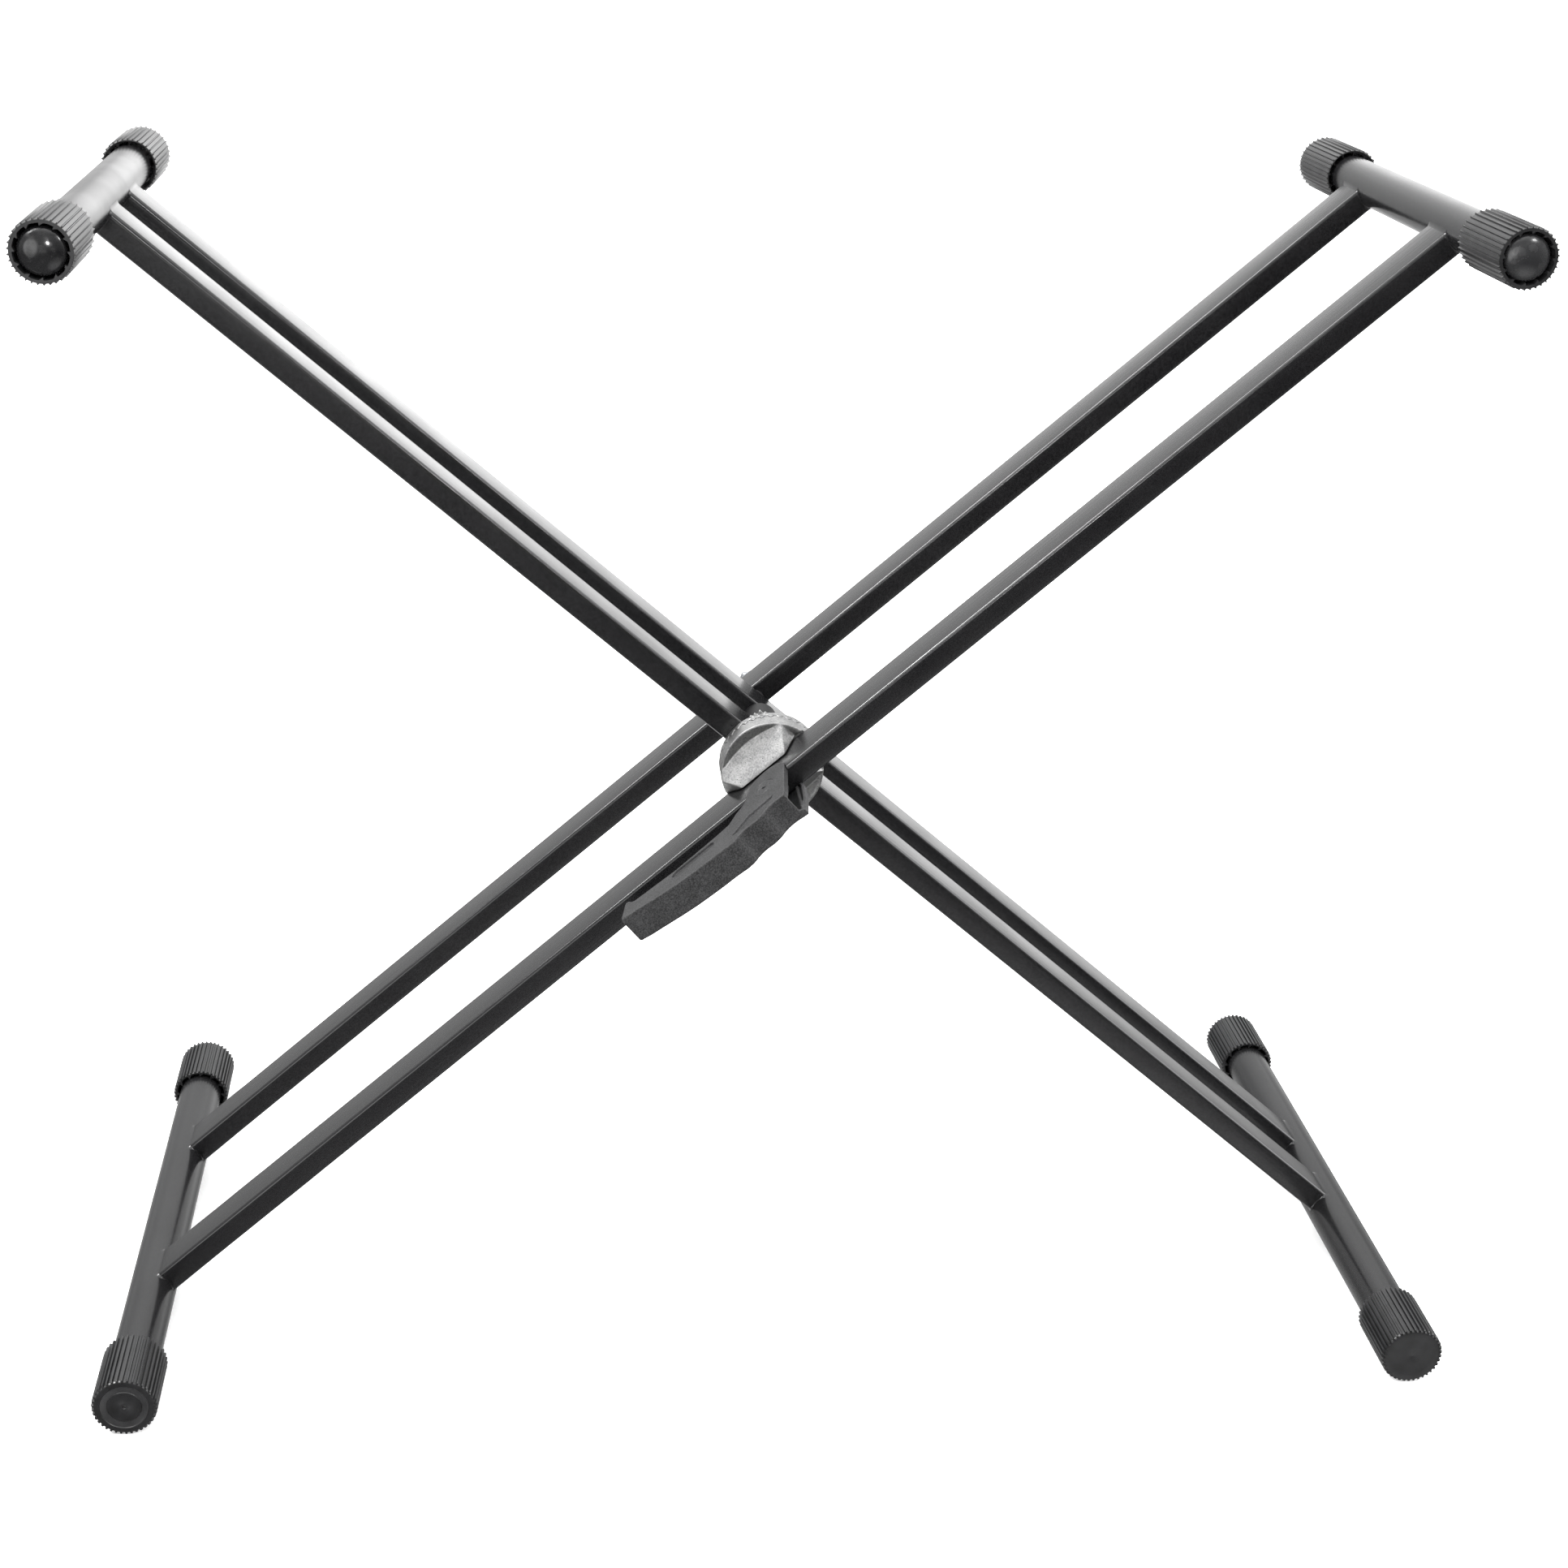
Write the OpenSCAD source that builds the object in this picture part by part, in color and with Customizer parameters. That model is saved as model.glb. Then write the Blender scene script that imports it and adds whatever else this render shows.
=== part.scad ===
// Folding keyboard stand with two braced frames that cross at a toothed clutch.
// Millimetres, +Z up, the release lever faces -Y, origin on the floor under the pivot.
// The outer frame rises to the right (+X), the inner frame rises to the left.

/* [Crossing frames] */
// Angle of the brace tubes above the floor
rest_angle = 40.8; // [30:0.1:50]
// Pivot axis to the centre of an arm bar
arm_reach = 503.5; // [380:0.5:560]
// Pivot axis to the centre of a foot bar
foot_reach = 510.5; // [380:0.5:560]
// Half the spacing of the outer pair of brace tubes
outer_half = 79.5; // [78.5:0.5:84]
// Half the spacing of the inner pair of brace tubes
inner_half = 36; // [33:0.5:37]
// How far the inner pair stands behind the middle, for the clutch
inner_shift = 5; // [4:0.5:6]

/* [Brace tubes] */
// Depth of the flat-sided tube, front to back
tube_depth = 30; // [28:0.5:31]
// Height of the tube across its narrow side
tube_height = 15; // [12:0.5:16]
// Wall of the brace tubes
tube_wall = 1.5; // [1:0.1:2.5]
// Outer corner radius of the brace tubes
tube_corner = 2; // [1:0.1:3]

/* [Arm bars] */
// Outside diameter of the round arm bars
arm_bar_dia = 25.4; // [22:0.1:30]
// Wall of the arm bars
arm_bar_wall = 1.5; // [1:0.1:2.5]
// Length of an arm bar
arm_bar_len = 338; // [300:1:400]
// How far the arm bars stand behind the middle (negative is forwards)
arm_shift = -3; // [-10:0.5:10]

/* [Arm sleeves] */
// Length of a ribbed sleeve
sleeve_len = 61; // [40:1:70]
// How far the sleeve's mouth stands past the bar's end
sleeve_over = 12; // [11:0.5:16]
// Space between the bar and the sleeve's inner wall, bridged by grip ribs
sleeve_space = 1.4; // [1:0.1:2]
// Sleeve wall between the ribs
sleeve_wall = 2; // [1.5:0.1:3]
// Height of the outer ribs
sleeve_rib = 0.9; // [0.5:0.1:1.5]
// Number of outer ribs, even so that one points straight up
sleeve_ribs = 34; // [24:2:40]
// Width of an outer rib at its tip
sleeve_rib_tip = 0.5; // [0.3:0.1:0.8]
// Width of an outer rib at its root
sleeve_rib_root = 1.3; // [1:0.1:1.6]
// Number of saw-shaped grip ribs inside
grip_ribs = 12; // [8:1:16]

/* [Bar plugs] */
// Height of the domed head
plug_dome = 5; // [3:0.5:6]
// Rim that rests on the bar's end
plug_rim = 5.5; // [4:0.1:5.9]
// How far the dome's edge stands inside the bar's outside
plug_inset = 0.6; // [0.3:0.1:1.2]
// Length of the stem inside the bar
plug_stem = 14; // [8:1:25]

/* [Foot bars] */
// Outside diameter of the round foot bars
foot_bar_dia = 28.6; // [25:0.1:32]
// Wall of the foot bars
foot_bar_wall = 1.5; // [1:0.1:2.5]
// Length of a foot bar
foot_bar_len = 416; // [340:1:480]

/* [Foot caps] */
// Overall length of a foot cap
cap_len = 47; // [35:1:60]
// Thickness of the closed end
cap_end = 4; // [2:0.5:6]
// Space between the bar and the cap's inner wall, bridged by grip ribs
cap_space = 2.3; // [1:0.1:3]
// Cap wall between the ribs
cap_wall = 1.5; // [1.2:0.1:3]
// Height of the outer ribs
cap_rib = 0.9; // [0.5:0.1:1.5]
// Number of outer ribs, even so that one points straight down
cap_ribs = 38; // [28:2:42]
// Width of an outer rib at its tip
cap_rib_tip = 1.1; // [0.8:0.1:1.3]
// Width of an outer rib at its root
cap_rib_root = 1.8; // [1.5:0.1:2.1]
// Diameter of the ring groove in the closed end
cap_ring_dia = 27; // [20:0.5:29]

/* [Clutch] */
// Radius of both clutch discs
disc_r = 31; // [29:0.5:33]
// Thickness of the rear disc, from the teeth to the inner tube
rear_disc_t = 6; // [5.5:0.1:6.5]
// How far the saddle lobes reach along the tube past the disc's rim
lobe_wrap = 12.5; // [8:0.5:15]
// Flat width of the lobe's lip
lip_w = 1.4; // [1:0.1:2]
// Half the length of the lobe's lip
lip_half = 17; // [12:0.5:18]
// How far the lip stands towards the foot end
lip_shift = 1.75; // [0:0.25:3]
// Run of the sloping facet at each end of the lip
facet_run = 12; // [9:0.5:12.5]
// Where the sloping panel meets the pocket, from the tube's centre line
panel_foot = 23; // [20:0.5:24]
// Depth of the crescent pocket inside the rim
pocket_depth = 2.5; // [1:0.1:3]
// Flat width of the rim round the pocket
rim_w = 1; // [0.6:0.1:2]
// Run of the pocket's conical wall
pocket_run = 5.5; // [3:0.5:6.5]
// Number of clutch teeth
teeth = 36; // [24:1:40]
// Height of the clutch teeth
tooth_h = 1.2; // [0.8:0.1:1.4]
// Width of the groove between two teeth
tooth_w = 3.2; // [2.4:0.1:3.4]
// Radial length of the teeth
tooth_len = 9; // [6:0.5:10]
// Free play of the front disc along the outer tube
slide_room = 3; // [2.4:0.1:3.5]

/* [Pivot bolt] */
// Diameter of the pivot bolt, which also pulls the clutch open
bolt_dia = 8; // [7:0.5:9]
// Outside diameter of the bushings welded through the tubes
bushing_dia = 10.6; // [10.4:0.1:13]
// Diameter of the outer bushings' flanges
bushing_flange_dia = 14; // [13.5:0.1:14.5]
// Thickness of those flanges
bushing_flange_t = 1; // [0.6:0.1:1.4]
// Diameter of the shoulder that pushes the front disc open
shoulder_dia = 16; // [13:0.5:20]
// Thickness of that shoulder
shoulder_t = 2.5; // [1.5:0.1:3]
// Depth of the retaining clip's groove in the bolt
clip_groove = 0.7; // [0.4:0.1:1]
// Outside diameter of the retaining clip
clip_dia = 14; // [12:0.5:16]
// Thickness of the retaining clip
clip_t = 1.2; // [0.8:0.1:1.5]
// Width across the flats of the rear cap nut
nut_flats = 13; // [12:0.5:15]
// Height of the cap nut's six-sided part
nut_h = 5; // [3:0.5:7]

/* [Clutch spring] */
// Outside diameter of the clutch spring
spring_dia = 16; // [14.5:0.5:16.5]
// Wire of the clutch spring
spring_wire = 1.8; // [1:0.1:2.2]
// Length of the fitted spring
spring_len = 22.5; // [18:0.5:24]
// Thickness of the washer under the spring
washer_t = 1.5; // [1:0.1:2]
// Length of the collar pinned to the bolt behind the spring
collar_len = 5; // [3:0.5:8]
// Outside diameter of the tube that spaces the inner pair
spacer_dia = 22; // [21:0.5:26]
// Wall of that tube
spacer_wall = 1.5; // [1:0.1:2]
// Diameter of the spacer between the two rear tubes
rear_spacer_dia = 13; // [12:0.5:18]

/* [Release lever] */
// Pin to the tip of the handle
lever_len = 116; // [100:1:125]
// Pin in front of the tube's front face
pin_ahead = 8.5; // [7.5:0.5:9.5]
// Diameter of the lever's pin
pin_dia = 4; // [3:0.5:4.5]
// Radius of the two ears about the pin
ear_r = 21; // [18:0.5:22]
// Thickness of the ears and side flanges
flange_t = 1.6; // [1.4:0.1:2.4]
// Thickness of the handle's front wall
front_wall = 2; // [1.5:0.1:2.5]
// Finger gap between the tube and the handle
finger_gap = 23; // [21:0.5:26]
// Depth of the handle in front of the finger gap
handle_depth = 23; // [20:0.5:26]
// Arm of the cam nose, from the pin along the tube
cam_arm = 13.5; // [12:0.5:14]
// Radius of the cam nose
cam_r = 2; // [1.5:0.1:2.4]

/* [Clearances] */
// Bolt in its bushings, and lever on its pin, on the radius
run_gap = 0.08; // [0.05:0.01:0.1]
// Bolt through the rear disc, washer and spacers, on the radius
free_gap = 0.3; // [0.2:0.05:0.5]
// Faces that turn or slide past each other
face_gap = 0.15; // [0.1:0.05:0.2]
// Front disc's lobes over the outer tube
lobe_gap = 0.4; // [0.3:0.05:0.5]
// Lever's flanges over the outer tube, and its cam nose before it
lever_gap = 0.3; // [0.25:0.05:0.4]
// Grip ribs round a bar, and a plug's stem inside one
grip_gap = 0.05; // [0.02:0.01:0.1]
// Room behind the front tube for the bolt's opening stroke
stroke_room = 2; // [1.9:0.1:2.5]

/* [Hidden] */
$fn = 96;

// Colours
coated_steel = [0.08, 0.08, 0.09];
soft_rubber = [0.13, 0.13, 0.14];
gloss_insert = [0.05, 0.05, 0.06];
cast_metal = [0.68, 0.68, 0.69];
zinc_steel = [0.62, 0.63, 0.65];
filled_plastic = [0.2, 0.2, 0.21];

// Stations along the depth
outer_front_y = -outer_half;
outer_rear_y = outer_half;
inner_front_y = inner_shift - inner_half;
inner_rear_y = inner_shift + inner_half;
half_depth = tube_depth / 2;
least_corner = 0.5;
tube_face = outer_front_y - half_depth;
tube_back = outer_front_y + half_depth;
parting_y = inner_front_y - half_depth - rear_disc_t;
washer_y = inner_front_y + half_depth;
spring_y = washer_y + washer_t;
collar_y = spring_y + spring_len;
nut_y = outer_rear_y + half_depth + bushing_flange_t + stroke_room;

// Heights
cap_r = foot_bar_dia / 2 + cap_space + cap_wall + cap_rib;
pivot_z = foot_reach * sin(rest_angle) + cap_r;
arm_z = pivot_z + arm_reach * sin(rest_angle);
arm_x = arm_reach * cos(rest_angle);
foot_x = foot_reach * cos(rest_angle);

// Sleeves, plugs and caps
sleeve_in_r = arm_bar_dia / 2 + sleeve_space;
sleeve_base_r = sleeve_in_r + sleeve_wall;
sleeve_tip_r = sleeve_base_r + sleeve_rib;
grip_foot = 9;
grip_lean = 5;
plug_r = arm_bar_dia / 2 - plug_inset;
plug_ball_r = (plug_r * plug_r + plug_dome * plug_dome) / (2 * plug_dome);
cap_in_r = foot_bar_dia / 2 + cap_space;
cap_base_r = cap_in_r + cap_wall;
cap_grip_w = 1.5;
cap_grips = 12;
cap_ring_w = 2;
cap_ring_depth = 0.5;
cap_chamfer = 1.2;

// Clutch and bolt, with t measured away from the plane where the teeth meet
half_height = tube_height / 2;
front_disc_t = parting_y - tube_back;
tooth_pitch = 360 / teeth;
rear_phase = 180 - 2 * rest_angle - tooth_pitch / 2;
bolt_r = bolt_dia / 2;
shoulder_t0 = 0.8;
clip_play = 0.3;
clip_seat = front_disc_t - slide_room - clip_t - clip_play;
nut_dome_step = 0.5;
bite = 1;

// Lever, with d measured forwards from the outer tube's front face: the outline's points are
// [along the tube from the pin, d], going round from the ears by the grip and the front edge
flange_in = half_height + lever_gap;
lever_half = flange_in + flange_t;
pin_y = tube_face - pin_ahead;
pin_sink = 1;
bolt_nose = 5;
front_d = finger_gap + handle_depth;
tip = -lever_len;
nub_u = tip + 5.5;
root_front = front_d - 6;
ear_start = -65;
ear_end = -125;
ear_step = -5;
ear_arc = [for (a = [ear_start : ear_step : ear_end]) [ear_r * cos(a), pin_ahead + ear_r * sin(a)]];
grip_edge = [[-19.5, finger_gap - 14], [-25.5, finger_gap - 10], [-32, finger_gap - 3],
    [-43, finger_gap - 1.5], [-73, finger_gap], [tip + 11.5, finger_gap - 3.5],
    [tip + 9.5, finger_gap - 5], [tip + 7.5, finger_gap - 8.5], [nub_u, finger_gap - 10],
    [tip + 3.5, finger_gap - 8], [tip, finger_gap + 5]];
front_edge = [[tip + 0.5, front_d - 16.5], [tip + 15.5, front_d - 9], [-76, front_d - 2.5],
    [-52, front_d], [-43.5, front_d], [-31.5, front_d + 2.5], [-23.5, front_d - 4],
    [-11.5, front_d - 2], [-2, front_d - 9.5], [12, root_front]];
root_edge = [[13, -4]];
lever_outline = concat(ear_arc, grip_edge, front_edge, root_edge);
tip_wall = 2.2;
open_u = 30;
lever_hollow = concat(
    [[nub_u + tip_wall, -ear_r], [nub_u + tip_wall, finger_gap - 8]],
    [for (p = front_edge) [max(p[0], tip + tip_wall), p[1] - front_wall]],
    [[open_u, root_front - front_wall], [open_u, -ear_r]]);
recess_depth = 0.8;
flange_recess = [[1, finger_gap + 2.5], [-21, finger_gap + 4], [-34, front_d - 5.5], [-9.5, front_d - 4.5]];
slot_from = [-47, finger_gap + 3];
slot_to = [-75, finger_gap + 5];
slot_r = 1.4;
slot_step = 20;
notch_u = 8.3;
notch_n = -4;

// Helpers

// Places its children in the outer frame: X along the tubes, Z across them
module in_outer() {
    translate([0, 0, pivot_z]) rotate([0, -rest_angle, 0]) children();
}

// The same for the inner frame, which leans the other way
module in_inner() {
    translate([0, 0, pivot_z]) mirror([1, 0, 0]) rotate([0, -rest_angle, 0]) children();
}

// Extrudes an upright X-Z drawing from y0 to y1
module span_y(y0, y1) {
    translate([0, y1, 0]) rotate([90, 0, 0]) linear_extrude(y1 - y0) children();
}

// Extrudes a drawing of along-tube and forward distances from n0 to n1 across the tube
module lever_plan(n0, n1) {
    translate([0, tube_face, n0]) mirror([0, 1, 0]) linear_extrude(n1 - n0) children();
}

module rounded_rect(w, h, r) {
    square([w - 2 * r, h], center = true);
    square([w, h - 2 * r], center = true);
    for (sx = [-1, 1], sy = [-1, 1])
        translate([sx * (w / 2 - r), sy * (h / 2 - r)]) circle(r = r);
}

module ring(outer_r, inner_r) {
    difference() {
        circle(r = outer_r);
        circle(r = inner_r);
    }
}

// A point at distance r along the direction a, and w to its left
function beside(a, r, w) = [r * cos(a) - w * sin(a), r * sin(a) + w * cos(a)];

// Closed outline with straight ribs, one of them pointing straight up
module ribbed_round(count, base_r, tip_r, root_w, tip_w) {
    polygon([for (i = [0 : count - 1], k = [0 : 3])
        let (a = 90 + i * 360 / count, w = (k == 0 || k == 3) ? root_w / 2 : tip_w / 2)
        beside(a, (k == 0 || k == 3) ? base_r : tip_r, k < 2 ? -w : w)]);
}

// Frames

module brace_tube(y) {
    color(coated_steel) difference() {
        translate([-foot_reach, y, 0]) rotate([90, 0, 90])
            linear_extrude(foot_reach + arm_reach) difference() {
                rounded_rect(tube_depth, tube_height, tube_corner);
                rounded_rect(tube_depth - 2 * tube_wall, tube_height - 2 * tube_wall,
                    max(tube_corner - tube_wall, least_corner));
            }
        translate([arm_reach, 0, 0]) span_y(y - tube_depth, y + tube_depth) circle(d = arm_bar_dia);
        translate([-foot_reach, 0, 0]) span_y(y - tube_depth, y + tube_depth) circle(d = foot_bar_dia);
        span_y(y - tube_depth, y + tube_depth) circle(d = bushing_dia);
    }
}

module bushing(y, flange_side) {
    color(zinc_steel) {
        span_y(y - half_depth, y + half_depth) ring(bushing_dia / 2, bolt_r + run_gap);
        if (flange_side < 0) span_y(y - half_depth - bushing_flange_t, y - half_depth)
            ring(bushing_flange_dia / 2, bolt_r + run_gap);
        if (flange_side > 0) span_y(y + half_depth, y + half_depth + bushing_flange_t)
            ring(bushing_flange_dia / 2, bolt_r + run_gap);
    }
}

module arm_bar(side) {
    color(coated_steel) translate([side * arm_x, 0, arm_z])
        span_y(arm_shift - arm_bar_len / 2, arm_shift + arm_bar_len / 2)
            ring(arm_bar_dia / 2, arm_bar_dia / 2 - arm_bar_wall);
}

module foot_bar(side) {
    color(coated_steel) translate([side * foot_x, 0, cap_r])
        span_y(-foot_bar_len / 2, foot_bar_len / 2)
            ring(foot_bar_dia / 2, foot_bar_dia / 2 - foot_bar_wall);
}

// Soft ends

// One inner grip rib of a sleeve, steep on one side
module grip_tooth() {
    polygon([beside(0, sleeve_in_r + sleeve_wall / 2, 0),
        beside(0, arm_bar_dia / 2 + grip_gap, 0),
        beside(grip_lean, arm_bar_dia / 2 + grip_gap, 0),
        beside(grip_foot, sleeve_in_r + sleeve_wall / 4, 0)]);
}

module arm_sleeve(side, end) {
    mouth = arm_shift + end * (arm_bar_len / 2 + sleeve_over);
    root = mouth - end * sleeve_len;
    color(soft_rubber) translate([side * arm_x, 0, arm_z]) {
        span_y(min(mouth, root), max(mouth, root)) difference() {
            ribbed_round(sleeve_ribs, sleeve_base_r, sleeve_tip_r, sleeve_rib_root, sleeve_rib_tip);
            circle(r = sleeve_in_r);
        }
        for (i = [0 : grip_ribs - 1]) rotate([0, i * 360 / grip_ribs, 0])
            span_y(min(mouth, root), max(mouth, root)) grip_tooth();
    }
}

module arm_plug(side, end) {
    seat = arm_shift + end * arm_bar_len / 2;
    color(gloss_insert) translate([side * arm_x, seat, arm_z]) rotate([-90 * end, 0, 0]) {
        translate([0, 0, -plug_stem]) cylinder(r = arm_bar_dia / 2 - arm_bar_wall - grip_gap, h = plug_stem);
        cylinder(r = arm_bar_dia / 2 - plug_inset / 2, h = plug_rim);
        intersection() {
            translate([0, 0, plug_rim + plug_dome - plug_ball_r]) sphere(r = plug_ball_r);
            cylinder(r = plug_r, h = plug_rim + plug_dome);
        }
    }
}

module foot_cap(side, end) {
    bar_end = foot_bar_len / 2;
    color(soft_rubber) translate([side * foot_x, 0, cap_r]) mirror([0, end < 0 ? 0 : 1, 0]) difference() {
        union() {
            span_y(-bar_end - cap_end + cap_chamfer, -bar_end - cap_end + cap_len) difference() {
                ribbed_round(cap_ribs, cap_base_r, cap_r, cap_rib_root, cap_rib_tip);
                circle(r = cap_in_r);
            }
            span_y(-bar_end - cap_end + cap_chamfer, -bar_end) circle(r = cap_in_r + cap_wall / 2);
            translate([0, -bar_end - cap_end, 0]) rotate([-90, 0, 0])
                cylinder(r1 = cap_base_r - cap_chamfer, r2 = cap_base_r, h = cap_chamfer);
            span_y(-bar_end, -bar_end - cap_end + cap_len)
                for (i = [0 : cap_grips - 1]) rotate(i * 360 / cap_grips)
                    translate([foot_bar_dia / 2 + grip_gap, -cap_grip_w / 2])
                        square([cap_space - grip_gap + cap_wall / 2, cap_grip_w]);
        }
        span_y(-bar_end - cap_end - bite, -bar_end - cap_end + cap_ring_depth)
            ring(cap_ring_dia / 2, cap_ring_dia / 2 - cap_ring_w);
    }
}

// Clutch

// Saddle lobe on one side of the tube, with a sloping panel and two end facets
module lobe(rim_t, gap) {
    inner_n = half_height + gap;
    lip_t = rim_t + lobe_wrap;
    floor_t = rim_t - pocket_depth;
    root_t = floor_t - bite;
    base_half = lip_half + facet_run;
    intersection() {
        cylinder(r = disc_r, h = lip_t);
        translate([-disc_r, 0, 0]) rotate([90, 0, 90]) linear_extrude(2 * disc_r)
            polygon([[inner_n, root_t], [inner_n, lip_t], [inner_n + lip_w, lip_t],
                [panel_foot, floor_t], [panel_foot, root_t]]);
        translate([-lip_shift, disc_r, 0]) rotate([90, 0, 0]) linear_extrude(disc_r)
            polygon([[-base_half, root_t], [-base_half, rim_t], [-lip_half, lip_t],
                [lip_half, lip_t], [base_half, rim_t], [base_half, root_t]]);
    }
}

// A toothed disc with two lobes: rim_t is its thickness, floor_t the seat of the tube
module clutch_disc(rim_t, floor_t, gap, phase) {
    pocket_r = disc_r - rim_w;
    difference() {
        union() {
            difference() {
                translate([0, 0, face_gap]) cylinder(r = disc_r, h = rim_t - face_gap);
                translate([0, 0, rim_t - pocket_depth])
                    cylinder(r1 = pocket_r - pocket_run, r2 = pocket_r, h = pocket_depth);
                translate([0, 0, rim_t]) cylinder(r = pocket_r, h = bite);
            }
            lobe(rim_t, gap);
            mirror([0, 1, 0]) lobe(rim_t, gap);
            // Seat between the lobes, under the tube
            intersection() {
                cylinder(r = pocket_r - pocket_run / 2, h = floor_t);
                translate([-disc_r, -half_height - gap - bite, face_gap])
                    cube([2 * disc_r, tube_height + 2 * (gap + bite), floor_t - face_gap]);
            }
        }
        translate([-2 * disc_r, -half_height - gap, floor_t])
            cube([4 * disc_r, tube_height + 2 * gap, rim_t + lobe_wrap]);
        for (i = [0 : teeth - 1]) rotate(phase + i * tooth_pitch)
            translate([disc_r - tooth_len, 0, face_gap]) rotate([90, 0, 90])
                linear_extrude(tooth_len + bite)
                    polygon([[-tooth_w / 2, -bite], [tooth_w / 2, -bite], [tooth_w / 2, 0],
                        [0, tooth_h], [-tooth_w / 2, 0]]);
    }
}

module front_clutch_disc() {
    color(cast_metal) in_outer() difference() {
        translate([0, parting_y, 0]) rotate([90, 0, 0])
            clutch_disc(front_disc_t, front_disc_t - slide_room, lobe_gap, 0);
        span_y(tube_back - bite, parting_y + bite) circle(r = bolt_r + grip_gap);
        span_y(parting_y - shoulder_t0 - shoulder_t, parting_y + bite)
            circle(r = shoulder_dia / 2 + free_gap);
        span_y(tube_back - bite, parting_y - clip_seat) circle(r = clip_dia / 2 + free_gap);
    }
}

module rear_clutch_disc() {
    color(cast_metal) in_inner() difference() {
        translate([0, parting_y, 0]) mirror([0, 1, 0]) rotate([90, 0, 0])
            clutch_disc(rear_disc_t, rear_disc_t, 0, rear_phase);
        span_y(parting_y - bite, parting_y + rear_disc_t + bite) circle(r = bolt_r + free_gap);
    }
}

// Pivot and pull bolt

module pivot_bolt() {
    clip_y = parting_y - clip_seat;
    color(zinc_steel) in_outer() difference() {
        union() {
            span_y(pin_y - bolt_nose, clip_y - clip_t) circle(r = bolt_r);
            span_y(clip_y - clip_t, clip_y) circle(r = bolt_r - clip_groove);
            span_y(clip_y, nut_y + nut_h) circle(r = bolt_r);
            span_y(parting_y - shoulder_t0 - shoulder_t, parting_y - shoulder_t0) circle(d = shoulder_dia);
        }
        translate([0, pin_y, -bolt_dia]) cylinder(d = pin_dia, h = 2 * bolt_dia);
    }
}

module disc_clip() {
    clip_y = parting_y - clip_seat;
    mouth = bolt_dia / 2;
    color(zinc_steel) in_outer() span_y(clip_y - clip_t, clip_y) difference() {
        ring(clip_dia / 2, bolt_r - clip_groove);
        translate([0, -mouth / 2]) square([clip_dia, mouth]);
    }
}

module pivot_nut() {
    dome_r = nut_flats / 2 - nut_dome_step;
    color(zinc_steel) in_outer() translate([0, nut_y, 0]) rotate([-90, 0, 0]) difference() {
        union() {
            cylinder(d = nut_flats / cos(30), h = nut_h, $fn = 6);
            intersection() {
                translate([0, 0, nut_h]) sphere(r = dome_r);
                cylinder(r = dome_r, h = nut_h + dome_r);
            }
        }
        translate([0, 0, -bite]) cylinder(r = bolt_r, h = nut_h + bite);
    }
}

module lever_pin() {
    reach = flange_in + pin_sink - grip_gap;
    color(zinc_steel) in_outer() translate([0, pin_y, -reach]) cylinder(d = pin_dia, h = 2 * reach);
}

// Clutch spring and spacers

module clutch_spring() {
    color(zinc_steel) in_outer() span_y(spring_y, collar_y)
        ring(spring_dia / 2, spring_dia / 2 - spring_wire);
}

module spring_collar() {
    color(zinc_steel) in_outer() span_y(collar_y, collar_y + collar_len) ring(spring_dia / 2, bolt_r);
}

module spring_washer() {
    color(zinc_steel) in_inner() span_y(washer_y, spring_y)
        ring(spacer_dia / 2 - spacer_wall - grip_gap, bolt_r + free_gap);
}

module inner_spacer_tube() {
    color(coated_steel) in_inner() span_y(washer_y, inner_rear_y - half_depth)
        ring(spacer_dia / 2, spacer_dia / 2 - spacer_wall);
}

module rear_spacer() {
    color(zinc_steel) in_outer() span_y(inner_rear_y + half_depth + face_gap, outer_rear_y - half_depth)
        ring(rear_spacer_dia / 2, bolt_r + free_gap);
}

// Release lever

// Slot with round ends between two points of the lever's side
module side_slot(from, to, r) {
    lie = atan2(to[1] - from[1], to[0] - from[0]);
    polygon([for (a = [90 : slot_step : 270]) from + r * [cos(lie + a), sin(lie + a)],
        for (a = [-90 : slot_step : 90]) to + r * [cos(lie + a), sin(lie + a)]]);
}

module release_lever() {
    color(filled_plastic) in_outer() difference() {
        union() {
            difference() {
                lever_plan(-lever_half, lever_half) polygon(lever_outline);
                lever_plan(-flange_in, flange_in) polygon(lever_hollow);
            }
            // Cam nose that pushes off the tube's front face
            lever_plan(-flange_in - flange_t / 2, flange_in + flange_t / 2)
                translate([-cam_arm, lever_gap + cam_r]) circle(r = cam_r);
        }
        translate([0, pin_y, -flange_in - pin_sink])
            cylinder(r = pin_dia / 2 + run_gap, h = 2 * (flange_in + pin_sink));
        for (s = [-1, 1]) {
            cut_from = s > 0 ? lever_half - recess_depth : -lever_half - bite;
            lever_plan(cut_from, cut_from + recess_depth + bite) {
                polygon(flange_recess);
                side_slot(slot_from, slot_to, slot_r);
            }
        }
        // Notch in the root end of the front wall
        translate([notch_u, tube_face - front_d, notch_n])
            cube([open_u, handle_depth / 2, lever_half - notch_n + bite]);
    }
}

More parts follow.
